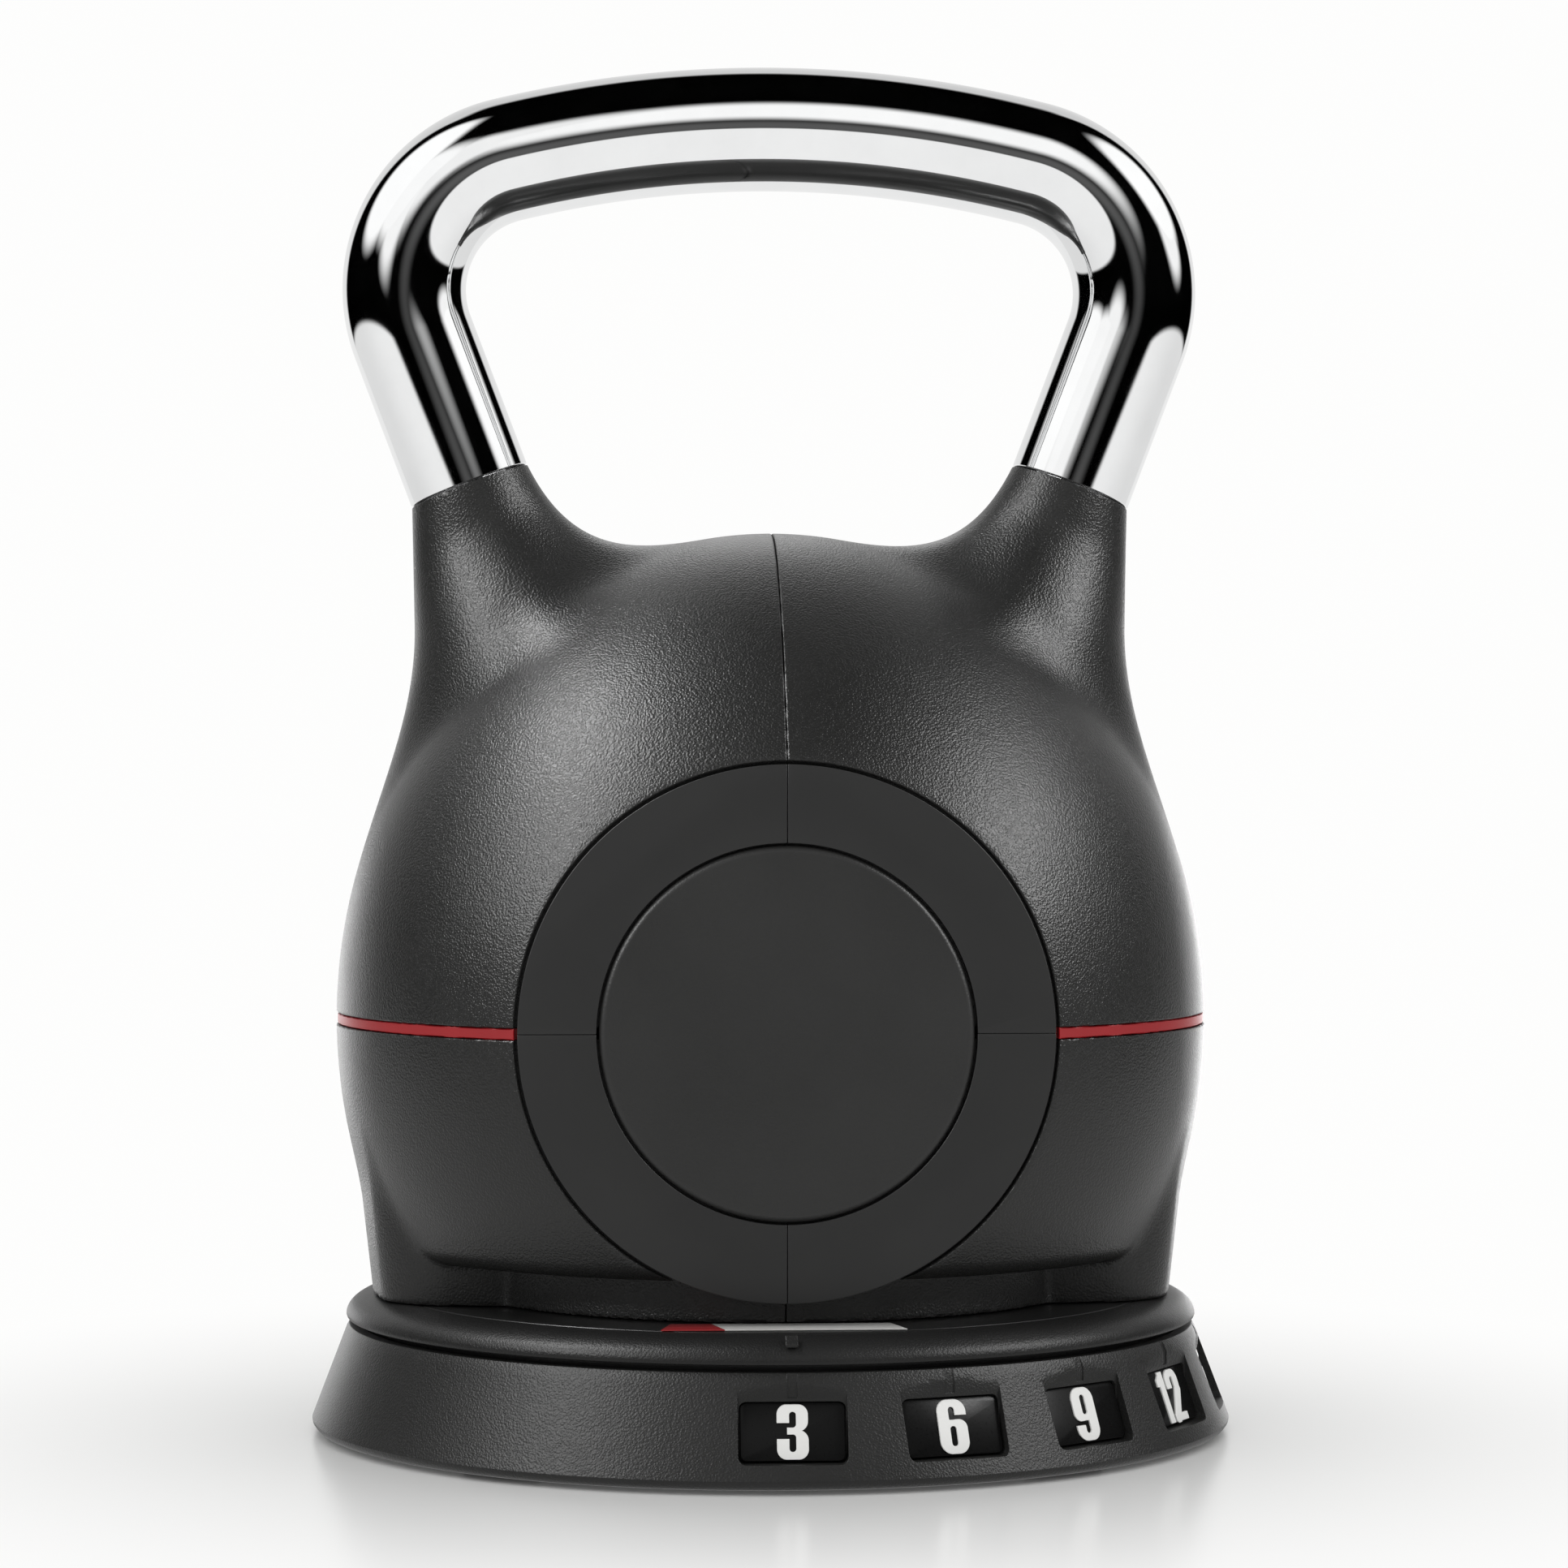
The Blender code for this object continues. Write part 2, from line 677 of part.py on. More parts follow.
def rim_profile():
    """The rounded ring round the turntable: a flat shoulder and a quarter of an ellipse."""
    inner = DECK_RADIUS + 0.4
    foot = RIM_LOW + RIM_FOOT
    quarter_steps = 4
    points = [(inner, DECK_TOP)]
    for step in range(quarter_steps + 1):
        angle = math.pi / 2 * (1 - step / quarter_steps)
        across = RIM_SHOULDER + (RIM_RADIUS - RIM_SHOULDER) * math.cos(angle)
        points.append((across, foot + (DECK_TOP - foot) * math.sin(angle)))
    points += [(RIM_RADIUS - 0.5, RIM_LOW), (inner, RIM_LOW)]
    return points


def deck_profile():
    """The deck with the skirt under the rim and the foot that runs on the slide ring."""
    under = DECK_TOP - DECK_THICKNESS
    ring_in, ring_out, _, ring_top = SLIDE_RING
    skirt_radius, skirt_low = SKIRT
    foot = ring_top + GAP
    return [
        (DECK_HOLE, DECK_TOP), (DECK_RADIUS, DECK_TOP), (DECK_RADIUS, RIM_LOW - GAP),
        (skirt_radius, RIM_LOW - GAP), (skirt_radius, skirt_low), (ring_out + 2.0, skirt_low),
        (ring_out, foot), (ring_in, foot), (ring_in - 1.0, under), (DECK_HOLE, under),
    ]


def make_turntable():
    deck = turned("turntable_deck", deck_profile(), "dock_black", sides=56)
    for side in (-1, 1):
        at = (side * PEG_X, 0.0)
        drive_peg = cylinder(f"drive_peg_{side}", PEG_RADIUS, DECK_TOP - 2.0, PEG_TOP, at=at, sides=16)
        combine(deck, drive_peg, "UNION")
        at = (side * PLATE_PEG_X, 0.0)
        top = PLATE_LOW + PLATE_PEG_HEIGHT
        peg = cylinder(f"deck_peg_{side}", PLATE_PEG_RADIUS, DECK_TOP - 2.0, top, at=at, sides=TINY)
        combine(deck, peg, "UNION")
    under = DECK_TOP - DECK_THICKNESS
    mouth, floor = DIMPLE_RADII
    for step in range(len(NUMBERS)):
        dimple = cylinder(
            f"detent_{step}", mouth, under - 1.0, under + DIMPLE_DEPTH,
            at=(0.0, -DETENT_RADIUS), sides=TINY, top_radius=floor,
        )
        combine(deck, spin(dimple, DETENT_ANGLE - step * NUMBER_PITCH))
    turned("turntable_rim", rim_profile(), "dock_black")
    make_pointer()
    label_low, label_high = (DECK_TOP + height for height in LABEL_HEIGHTS)
    prism("label_strip", LABEL, label_low, label_high, "label_white")
    clip_inner, clip_outer, clip_height = CLIP
    clip_low = DECK_TOP + GAP
    washer("retaining_clip", clip_inner, clip_outer, clip_low, clip_low + clip_height, "steel")


def make_pointer():
    """A small bump on the rim that points at the chosen number."""
    half = Vector(POINTER_SIZE) / 2
    pointer = box("pointer", -half, half, "dock_black")
    round_edges(pointer, GAP)
    slope = Matrix.Rotation(POINTER_SLOPE, 4, "X")
    pointer.matrix_world = Matrix.Translation(Vector(POINTER_AT) * MM) @ slope
    return pointer


# ------------------------------------------------------------------------ dock


def wall_radius(height):
    slope = (DOCK_BASE_RADIUS - DOCK_TOP_RADIUS) / (DOCK_HEIGHT - DOCK_BASE_LEVEL - DOCK_BASE_ROUND)
    return DOCK_TOP_RADIUS + slope * (DOCK_HEIGHT - height)


def housing_profile():
    """The flared wall with its rounded foot, and the deck inside it."""
    low = DOCK_BASE_LEVEL
    curl = low + DOCK_BASE_ROUND
    deck_low, deck_high = DOCK_DECK
    return [
        (DOCK_TOP_RADIUS - 0.5, DOCK_HEIGHT), (DOCK_TOP_RADIUS, DOCK_HEIGHT - 0.6),
        (wall_radius(curl), curl), (wall_radius(curl) - 0.5, low + 0.8),
        (wall_radius(curl) - 1.8, low), (wall_radius(low) - DOCK_WALL, low),
        (wall_radius(deck_low) - DOCK_WALL, deck_low), (HUB_HOLE, deck_low), (HUB_HOLE, deck_high),
        (wall_radius(deck_high) - DOCK_WALL, deck_high), (DOCK_TOP_RADIUS - DOCK_LIP, DOCK_HEIGHT),
    ]


def base_angle(index):
    """Where a foot and its screw sit round the base, from the front."""
    return 360.0 / BASE_SCREWS * (index + 0.5)


def make_housing():
    housing = turned("dock_housing", housing_profile(), "dock_black")
    add_window_frames(housing)
    for step, number in enumerate(NUMBERS):
        make_window(housing, number, step * NUMBER_PITCH)
    hole = cylinder("detent_hole", PIN_RADIUS + 0.4, 10.0, 40.0, at=(0.0, -DETENT_RADIUS), sides=16)
    combine(housing, spin(hole, DETENT_ANGLE))
    spot = (0.0, -BASE_SCREW_RADIUS)
    boss_top = DOCK_DECK[0] + 0.5
    thread_top = SCREW_HEIGHTS[2] + 0.5
    for index in range(BASE_SCREWS):
        angle = base_angle(index)
        boss = cylinder(f"screw_boss_{index}", BOSS_RADIUS, BOSS_LOW, boss_top, at=spot, sides=TINY)
        combine(housing, spin(boss, angle), "UNION")
        thread = cylinder(f"screw_thread_{index}", SCREW_HOLE, 0.0, thread_top, at=spot, sides=TINY)
        combine(housing, spin(thread, angle))
    return housing


def add_window_frames(housing):
    """A thick block behind each window, trimmed to the wall's slope."""
    below_wall = 0.6
    cone = cylinder(
        "dock_cone", wall_radius(0.0) - below_wall, 0.0, DOCK_HEIGHT, sides=FINE,
        top_radius=wall_radius(DOCK_HEIGHT) - below_wall,
    )
    half = WINDOW_WIDTH / 2 + WINDOW_FRAME
    low = WINDOW_HEIGHTS[0] - 1.6
    high = DOCK_DECK[0] + 0.5
    for step, number in enumerate(NUMBERS):
        block = box(f"window_block_{number}", (-half, -FAR, low), (half, -WINDOW_BACK, high))
        spin(block, step * NUMBER_PITCH)
        combine(block, cone, "INTERSECT")
        combine(housing, block, "UNION")


def sloped(obj):
    """Slant a window's part so that it leans back like the wall, and stays put at the window's middle."""
    slant = Matrix.Identity(4)
    slant[1][2] = TILE_SLOPE
    middle = sum(WINDOW_HEIGHTS) / 2 * MM
    slant[1][3] = -TILE_SLOPE * middle
    for vertex in obj.data.vertices:
        vertex.co = slant @ (obj.location + vertex.co) - obj.location
    return obj


def window_part(name, inset, near, far, angle, slot=None):
    """A rounded plate between two planes that lean back like the wall, a little smaller than its window."""
    low, high = WINDOW_HEIGHTS
    half = WINDOW_WIDTH / 2 - inset
    spare = 1.0
    part = sloped(box(name, (-half - spare, -far, low - spare), (half + spare, -near, high + spare), slot))
    outline = box(f"{name}_outline", (-half, -FAR, low + inset), (half, -FAR / 2, high - inset))
    round_edges(outline, WINDOW_CORNER - inset)
    spin(part, angle)
    combine(part, spin(outline, angle), "INTERSECT")
    return part


def make_window(housing, number, angle):
    """A flat pocket in the sloping wall, its opening, and the number tile in it."""
    low, high = WINDOW_HEIGHTS
    half = WINDOW_WIDTH / 2
    outer = half + POCKET_MARGIN
    bottom = low - POCKET_MARGIN
    pocket = box(f"window_pocket_{number}", (-outer, -FAR, bottom), (outer, -WINDOW_FACE, 2 * DOCK_HEIGHT))
    round_edges(pocket, WINDOW_CORNER)
    combine(housing, spin(pocket, angle))
    back = TILE_FRONT - TILE_DEPTH
    combine(housing, window_part(f"window_opening_{number}", 0.0, back - GAP, FAR, angle))
    window_part(f"number_tile_{number}", GAP, back, TILE_FRONT, angle, "tile_black")


def make_base():
    """The plate that closes the dock from below, with its feet and screws."""
    low, high = BASE_PLATE
    low_radius, high_radius = BASE_PLATE_RADIUS
    profile = [(0.0, high), (high_radius, high), (low_radius, low), (0.0, low)]
    base = turned("dock_base_plate", profile, "dock_black", sides=56, ring=False)
    head_low, head_high, tip = SCREW_HEIGHTS
    head, shank = SCREW_RADII
    screw_profile = [
        (0.0, tip), (shank, tip), (shank, head_high), (head, head_high), (head, head_low), (0.0, head_low)
    ]
    for index in range(BASE_SCREWS):
        angle = base_angle(index)
        spot = (0.0, -FOOT_SPREAD)
        spin(cylinder(f"rubber_foot_{index + 1}", FOOT_RADIUS, 0.0, FOOT_HEIGHT, "rubber", at=spot), angle)
        spot = (0.0, -BASE_SCREW_RADIUS)
        hole = cylinder(f"base_screw_hole_{index}", SCREW_HOLE, -5.0, high + 5.0, at=spot, sides=TINY)
        combine(base, spin(hole, angle))
        screw = turned(f"base_screw_{index + 1}", screw_profile, "steel", sides=TINY, ring=False)
        screw.location = round_spot(BASE_SCREW_RADIUS, angle)


def make_post():
    """The fixed post whose square end keeps the selector shaft from turning."""
    groove_low, groove_high = DECK_TOP + 0.2, DECK_TOP + 1.7
    flange_radius, flange_high = POST_FLANGE
    foot = HUB_HOLE - GAP
    deck = DOCK_DECK[1] + GAP
    profile = [
        (0.0, POST_TOP), (POST_RADIUS, POST_TOP), (POST_RADIUS, groove_high), (POST_GROOVE, groove_high),
        (POST_GROOVE, groove_low), (POST_RADIUS, groove_low), (POST_RADIUS, flange_high),
        (flange_radius, flange_high), (flange_radius, deck), (foot, deck), (foot, POST_LOW), (0.0, POST_LOW),
    ]
    post = turned("dock_post", profile, "steel", sides=SMALL, ring=False)
    half = POST_SQUARE / 2
    low, high = POST_SQUARE_HEIGHTS
    combine(post, box("post_square", (-half, -half, low), (half, half, high)), "UNION")
    nut_radius, nut_low = POST_NUT
    nut = cylinder("post_nut", nut_radius, nut_low, DOCK_DECK[0] - GAP, "steel", sides=6)
    combine(nut, cylinder("post_nut_hole", HUB_HOLE, nut_low - 5.0, DOCK_DECK[0] + 5.0))


def make_detent():
    """The sprung pin that clicks into the turntable's dimples."""
    under = DECK_TOP - DECK_THICKNESS
    spot = round_spot(DETENT_RADIUS, DETENT_ANGLE)
    profile = [
        (0.0, under + 1.0), (1.8, under + 0.8), (PIN_RADIUS, under - DIMPLE_DEPTH),
        (PIN_RADIUS, PIN_LOW), (0.0, PIN_LOW),
    ]
    pin = turned("detent_pin", profile, "steel", sides=16, ring=False)
    pin.location = spot
    per_turn = 10
    low, high = SPRING_HEIGHTS
    steps = SPRING_TURNS * per_turn
    route = []
    for step in range(steps + 1):
        angle = math.tau * step / per_turn
        height = low + (high - low) * step / steps
        route.append((SPRING_RADIUS * math.cos(angle), SPRING_RADIUS * math.sin(angle), height))
    spring = wire("detent_spring", route, SPRING_WIRE, "steel", resolution=2)
    spring.data.use_fill_caps = True
    spring.location = spot


def main():
    make_handle()
    outer, void = make_forms()
    make_shells(outer, void)
    make_faces()
    make_frame()
    make_handle_fixings()
    make_cage()
    make_bearing()
    for number in range(1, PLATE_COUNT + 1):
        make_plate(number)
    make_selector()
    make_turntable()
    make_housing()
    ring_in, ring_out, ring_low, ring_high = SLIDE_RING
    washer("slide_ring", ring_in, ring_out, ring_low, ring_high, "bearing_plastic", sides=ROUND)
    make_base()
    make_post()
    make_detent()


clear_scene()
PARTS = new_collection("kettlebell")
CUTTERS = new_collection("cutters")
MATERIALS = {slot: new_finish(slot) for slot in FINISHES}
main()
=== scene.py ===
"""The looks of an adjustable kettlebell on its dock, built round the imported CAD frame.

Shapes are worked out in millimetres and placed in metres. The body is a field, a function that is
negative inside the solid, which a surface net turns into a mesh. Round parts are turned profiles.
"""

import json
import math

import bmesh
import bpy
import numpy as np
from mathutils import Matrix, Vector

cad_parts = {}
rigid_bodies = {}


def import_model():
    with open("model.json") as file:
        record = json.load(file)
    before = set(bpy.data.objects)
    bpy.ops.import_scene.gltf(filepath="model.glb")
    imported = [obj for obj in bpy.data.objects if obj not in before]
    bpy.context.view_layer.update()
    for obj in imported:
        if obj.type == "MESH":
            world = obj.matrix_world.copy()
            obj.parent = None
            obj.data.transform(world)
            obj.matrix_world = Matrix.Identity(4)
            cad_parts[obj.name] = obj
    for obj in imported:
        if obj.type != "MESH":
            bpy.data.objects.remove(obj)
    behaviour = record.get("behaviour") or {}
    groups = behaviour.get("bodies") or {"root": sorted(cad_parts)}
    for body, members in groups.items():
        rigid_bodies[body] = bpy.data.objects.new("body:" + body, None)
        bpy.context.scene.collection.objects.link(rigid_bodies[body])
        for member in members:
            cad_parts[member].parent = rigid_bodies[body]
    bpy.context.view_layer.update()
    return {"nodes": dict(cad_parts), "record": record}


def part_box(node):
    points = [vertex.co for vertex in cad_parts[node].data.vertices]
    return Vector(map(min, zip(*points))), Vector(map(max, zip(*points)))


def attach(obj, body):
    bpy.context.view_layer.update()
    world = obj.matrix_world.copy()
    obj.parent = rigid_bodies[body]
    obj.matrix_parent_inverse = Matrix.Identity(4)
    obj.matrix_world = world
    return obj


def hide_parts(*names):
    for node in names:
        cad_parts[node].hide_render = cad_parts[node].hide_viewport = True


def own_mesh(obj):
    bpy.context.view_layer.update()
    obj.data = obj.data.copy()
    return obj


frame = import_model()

MM = 0.001
SIDES = ((-1, "left"), (1, "right"))
FACES = ((-1, "front"), (1, "back"))


def extent(node):
    """A CAD node's lowest and highest corners, in millimetres."""
    low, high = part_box(node)
    return np.array(low) / MM, np.array(high) / MM


# ---------------------------------------------------------- sizes from the frame

HANDLE_HIGH = extent("handle")[1]
TUBE_RADIUS = 15.1
TUBE_BORE = 12.3
TUBE_CHAMFER = 0.35
BAR_TOP = HANDLE_HIGH[2] - TUBE_RADIUS
BAR_ARC = 270.0         # the bar's gentle bow
BAR_ARC_Z = BAR_TOP - BAR_ARC
BEND_RADIUS = 33.0
BEND_X = 57.0
BEND_Z = BAR_ARC_Z + math.sqrt((BAR_ARC - BEND_RADIUS) ** 2 - BEND_X ** 2)
LEG_TILT = math.radians(20.8)
CUT_LEVEL = 230.4       # where the legs' axes enter the horns
HANDLE_GAP = 0.25

TRIM_LOW, TRIM_HIGH = extent("red_trim_left")
BALL_Z = (TRIM_LOW[2] + TRIM_HIGH[2]) / 2
TRIM_HALF = 1.3
TRIM_GAP = 0.15
TRIM_DROP = 0.3         # how far the trim lies below the shells' surface
SEAM = 0.06             # half the gap between the left and the right shell
BALL = (106.4, 102.5, 118.5)
BALL_NARROWING = 0.13   # how much shallower the ball gets 100 mm above or below its middle
BALL_LOW = 44.0
BODY_LOW = extent("lower_shell_left")[0][2]
FACE = 83.4             # from the axis to the flat that the ring sits in
SEAT = 79.6             # from the axis to the floor of the ring's recess
SEAT_RADIUS = 62.05
SEAT_GAP = 0.3
RING_OUTER = 61.4
RING_INNER = 43.45
CAP_RADIUS = 42.9
WALL = 4.0
BORE_RADIUS = 68.0
BORE_TOP = 60.0
DRUM_RADIUS = 76.0
DRUM_TOP = 60.0
PEG_OUTER_X = 88.0
PEG_INNER_X = 40.0
PEG_RADIUS = 4.0

DOCK_HIGH = extent("dock_housing")[1]
DOCK_HEIGHT = DOCK_HIGH[2]
DOCK_BASE_RADIUS = DOCK_HIGH[0]
DECK_TOP = 33.6
DECK_RADIUS = 92.0
RIM_RADIUS = 104.0
RIM_LOW = extent("turntable_rim")[0][2]
CLICK_RADIUS = 60.0     # the click stop's distance from the axis
CLICK_ANGLE = 90.0
SCREW_RADIUS = 72.0


# ------------------------------------------------------------------------ meshes


def new_object(name, data):
    obj = bpy.data.objects.new(name, data)
    bpy.context.scene.collection.objects.link(obj)
    return obj


def make_object(name, points, faces):
    """A mesh object from points in millimetres and lists of point numbers."""
    mesh = bpy.data.meshes.new(name)
    mesh.from_pydata((np.asarray(points, float) * MM).tolist(), [], faces)
    mesh.validate()
    bm = bmesh.new()
    bm.from_mesh(mesh)
    bmesh.ops.recalc_face_normals(bm, faces=bm.faces)
    bm.to_mesh(mesh)
    bm.free()
    return new_object(name, mesh)


def apply_modifiers(obj):
    graph = bpy.context.evaluated_depsgraph_get()
    mesh = bpy.data.meshes.new_from_object(obj.evaluated_get(graph))
    old = obj.data
    obj.modifiers.clear()
    obj.data = mesh
    bpy.data.meshes.remove(old)
    mesh.name = obj.name


def check_closed(obj):
    """Stop if a mesh has a hole, because a cut in it would then do nothing."""
    bm = bmesh.new()
    bm.from_mesh(obj.data)
    open_edges = sum(len(edge.link_faces) != 2 for edge in bm.edges)
    bm.free()
    if open_edges:
        raise RuntimeError(f"{obj.name} has {open_edges} open edges")


def combine(obj, other, operation="DIFFERENCE", keep=False):
    """Cut, join or intersect with another closed mesh, which is then removed."""
    check_closed(obj)
    check_closed(other)
    modifier = obj.modifiers.new("combine", "BOOLEAN")
    modifier.operation = operation
    modifier.solver = "MANIFOLD"
    modifier.object = other
    apply_modifiers(obj)
    if not keep:
        bpy.data.objects.remove(other)


def bevel(obj, width, segments, angle=30.0):
    modifier = obj.modifiers.new("bevel", "BEVEL")
    modifier.width = width * MM
    modifier.segments = segments
    modifier.limit_method = "ANGLE"
    modifier.angle_limit = math.radians(angle)
    apply_modifiers(obj)


def smooth(obj, angle=32.0):
    """Smooth shading, with edges sharper than this angle left crisp."""
    obj.data.polygons.foreach_set("use_smooth", [True] * len(obj.data.polygons))
    obj.data.set_sharp_from_angle(angle=math.radians(angle))


def turned(name, profile, sides=256, ring=True):
    """A solid of revolution about Z; the profile is a list of (radius, height)."""
    angles = np.arange(sides) * math.tau / sides
    rows = []
    points = []
    for radius, height in profile:
        if radius < 1e-6:
            rows.append([len(points)] * sides)
            points.append((0.0, 0.0, height))
        else:
            rows.append(list(range(len(points), len(points) + sides)))
            points += [(radius * math.sin(a), -radius * math.cos(a), height) for a in angles]
    count = len(rows)
    faces = []
    for row in range(count if ring else count - 1):
        lower, upper = rows[row], rows[(row + 1) % count]
        for i in range(sides):
            j = (i + 1) % sides
            face = [lower[i], lower[j], upper[j], upper[i]]
            face = [p for n, p in enumerate(face) if p not in face[:n]]
            if len(face) > 2:
                faces.append(face)
    return make_object(name, points, faces)


def band(a, b, count):
    """Quads between two rings of points, from the numbers of their first points."""
    return [[a + i, a + (i + 1) % count, b + (i + 1) % count, b + i] for i in range(count)]


def slab(name, near, far):
    """A solid between two outlines of the same number of points."""
    count = len(near)
    faces = [list(range(count))[::-1], list(range(count, 2 * count))]
    return make_object(name, near + far, faces + band(0, count, count))


def prism(name, outline, low, high):
    """An outline of (x, y) points between two heights."""
    return slab(name, [(x, y, low) for x, y in outline], [(x, y, high) for x, y in outline])


def box(name, low, high):
    (x0, y0, z0), (x1, y1, z1) = low, high
    return prism(name, [(x0, y0), (x1, y0), (x1, y1), (x0, y1)], z0, z1)


def arc(centre, radius, start, end, steps):
    """Points on an arc, in degrees from the first axis."""
    angles = np.radians(np.linspace(start, end, steps + 1))
    return [(centre[0] + radius * math.cos(a), centre[1] + radius * math.sin(a)) for a in angles]


def place(obj, matrix):
    obj.data.transform(matrix)
    if matrix.determinant() < 0:
        obj.data.flip_normals()
    return obj


def spin(obj, degrees):
    """Turn about the vertical axis, from the front window towards the viewer's right."""
    return place(obj, Matrix.Rotation(math.radians(degrees), 4, "Z"))


def facing(obj, side):
    """Lay an object made round Z on the ball's front (side -1) or back (side 1)."""
    turn = Matrix.Rotation(-side * math.pi / 2, 4, "X")
    return place(obj, Matrix.Translation((0, 0, BALL_Z * MM)) @ turn)


def mirrored(obj, name):
    other = new_object(name, obj.data.copy())
    other.data.name = name
    return place(other, Matrix.Scale(-1, 4, (1, 0, 0)))


def finish_piece(obj, body, slot, *nodes):
    """Smooth a piece, give it its slot's material and its body, and hide the CAD nodes it stands for.
    """
    smooth(obj)
    obj.data.materials.clear()
    obj.data.materials.append(MATERIALS[slot])
    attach(obj, body)
    if nodes:
        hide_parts(*nodes)


# ------------------------------------------------------------------------ fields


def cut(a, b, radius):
    """Inside both fields, with the edge between them rounded."""
    return np.minimum(-radius, np.maximum(a, b)) + np.hypot(
        np.maximum(a + radius, 0.0), np.maximum(b + radius, 0.0)
    )


def join(a, b, reach):
    """Inside either field, with the corner between them filled over this reach."""
    mix = np.clip(0.5 + 0.5 * (b - a) / reach, 0.0, 1.0)
    return b + (a - b) * mix - reach * mix * (1.0 - mix)


def leg_frame(side):
    """Where the leg's axis enters the horn, and its direction downwards."""
    tangent_x = BEND_X + BEND_RADIUS * math.cos(LEG_TILT)
    tangent_z = BEND_Z - BEND_RADIUS * math.sin(LEG_TILT)
    start = (tangent_z - CUT_LEVEL) / math.cos(LEG_TILT)
    origin = np.array([side * (tangent_x - start * math.sin(LEG_TILT)), 0.0, CUT_LEVEL])
    return origin, np.array([-side * math.sin(LEG_TILT), 0.0, -math.cos(LEG_TILT)])


HORN_SPREADS = {"outer": 19.6, "inner": 7.2, "depth": 6.0}   # degrees from the leg's axis
HORN_FLARE = 11.0
HORN_FLARE_RANGE = (8.0, 44.0)
HORN_REACH = 85.0
HORN_BLENDS = {"outer": 17.0, "inner": 30.0}
BLEND_AT_FACE = 0.45
BLEND_RANGE = (6.0, 28.0)


def ease(value, low, high):
    share = np.clip((value - low) / (high - low), 0.0, 1.0)
    return share * share * (3.0 - 2.0 * share)


def oval(offsets, radii):
    """About how far outside an ellipse or ellipsoid a point is."""
    near = np.sqrt(sum((offset / radius) ** 2 for offset, radius in zip(offsets, radii)))
    far = np.sqrt(sum((offset / radius ** 2) ** 2 for offset, radius in zip(offsets, radii)))
    return near * (near - 1.0) / np.maximum(far, 1e-9)


def ball_field(x, y, z, upper=-5.0):
    """The ball, and two horns that widen downwards and run into it with a wide fillet."""
    deeper = y * (1.0 + BALL_NARROWING * ((z - BALL_Z) / 100.0) ** 2)
    field = oval((x, deeper, z - BALL_Z), BALL)
    slopes = {name: math.tan(math.radians(angle)) for name, angle in HORN_SPREADS.items()}
    for side, _ in SIDES:
        origin, axis = leg_frame(side)
        dx, dz = x - origin[0], z - origin[2]
        along = dx * axis[0] + dz * axis[2]
        inward = dx * axis[2] * side - dz * axis[0] * side
        inner = ease(inward, -10.0, 10.0)
        length = np.maximum(along, -8.0)
        slope = slopes["outer"] + (slopes["inner"] - slopes["outer"]) * inner
        wide = TUBE_RADIUS + length * slope
        deep = TUBE_RADIUS + length * slopes["depth"] + HORN_FLARE * ease(along, *HORN_FLARE_RANGE)
        horn = oval((inward, y), (wide, deep))
        horn = np.maximum(np.maximum(horn, upper - along), along - HORN_REACH)
        reach = HORN_BLENDS["outer"] + (HORN_BLENDS["inner"] - HORN_BLENDS["outer"]) * inner
        reach = reach * (1.0 - (1.0 - BLEND_AT_FACE) * ease(np.abs(y), *BLEND_RANGE))
        field = join(field, horn, reach)
    return field


FOOT_RADIUS = 110.2
FOOT_CENTRE = 12.7      # the outside's centre lies this far beyond the axis
FOOT_HALF = 41.0
FOOT_TAPER = 0.083
FOOT_INSIDE = 55.0
FOOT_CORNER = 12.0
FOOT_TOP = 74.0
FOOT_DRAFT = 0.115


def foot_field(x, y, z, side):
    """The foot on one side: round outside, flat towards the front and back, drafted."""
    out = side * x
    draft = FOOT_DRAFT * (z - BODY_LOW)
    outer = np.hypot(out + FOOT_CENTRE, y) - FOOT_RADIUS - draft
    flank = np.abs(y) - FOOT_HALF + (out - 60.0) * FOOT_TAPER - draft * 0.6
    plan = np.maximum(cut(outer, flank, FOOT_CORNER), FOOT_INSIDE - out)
    return cut(np.maximum(plan, z - FOOT_TOP), BODY_LOW - z, 0.5)


def body_field(x, y, z):
    """The whole outside: ball and horns, the drum under the ball, the feet and the two flats."""
    field = cut(ball_field(x, y, z), BALL_LOW - z, 4.0)
    drum = np.maximum(np.hypot(x, y) - DRUM_RADIUS, z - DRUM_TOP)
    drum = np.maximum(drum, BODY_LOW - z)
    field = join(field, drum, 0.8)
    for side, _ in SIDES:
        field = join(field, foot_field(x, y, z, side), 1.5)
    return cut(field, np.abs(y) - FACE, 1.2)


def void_field(x, y, z):
    """The space inside the body, a wall's thickness in."""
    field = ball_field(x, y, z, upper=14.0) + WALL
    return cut(np.maximum(field, BALL_LOW + WALL - z), np.abs(y) - (SEAT - 3.1), 2.0)


def graded(points):
    """Grid lines through (position, spacing) stops, the spacing changing evenly between them."""
    lines = [points[0][0]]
    for (start, near), (end, far) in zip(points, points[1:]):
        count = max(1, round((end - start) / ((near + far) / 2)))
        steps = np.linspace(near, far, count)
        lines += list(start + np.cumsum(steps) * (end - start) / steps.sum())
    return np.array(lines)


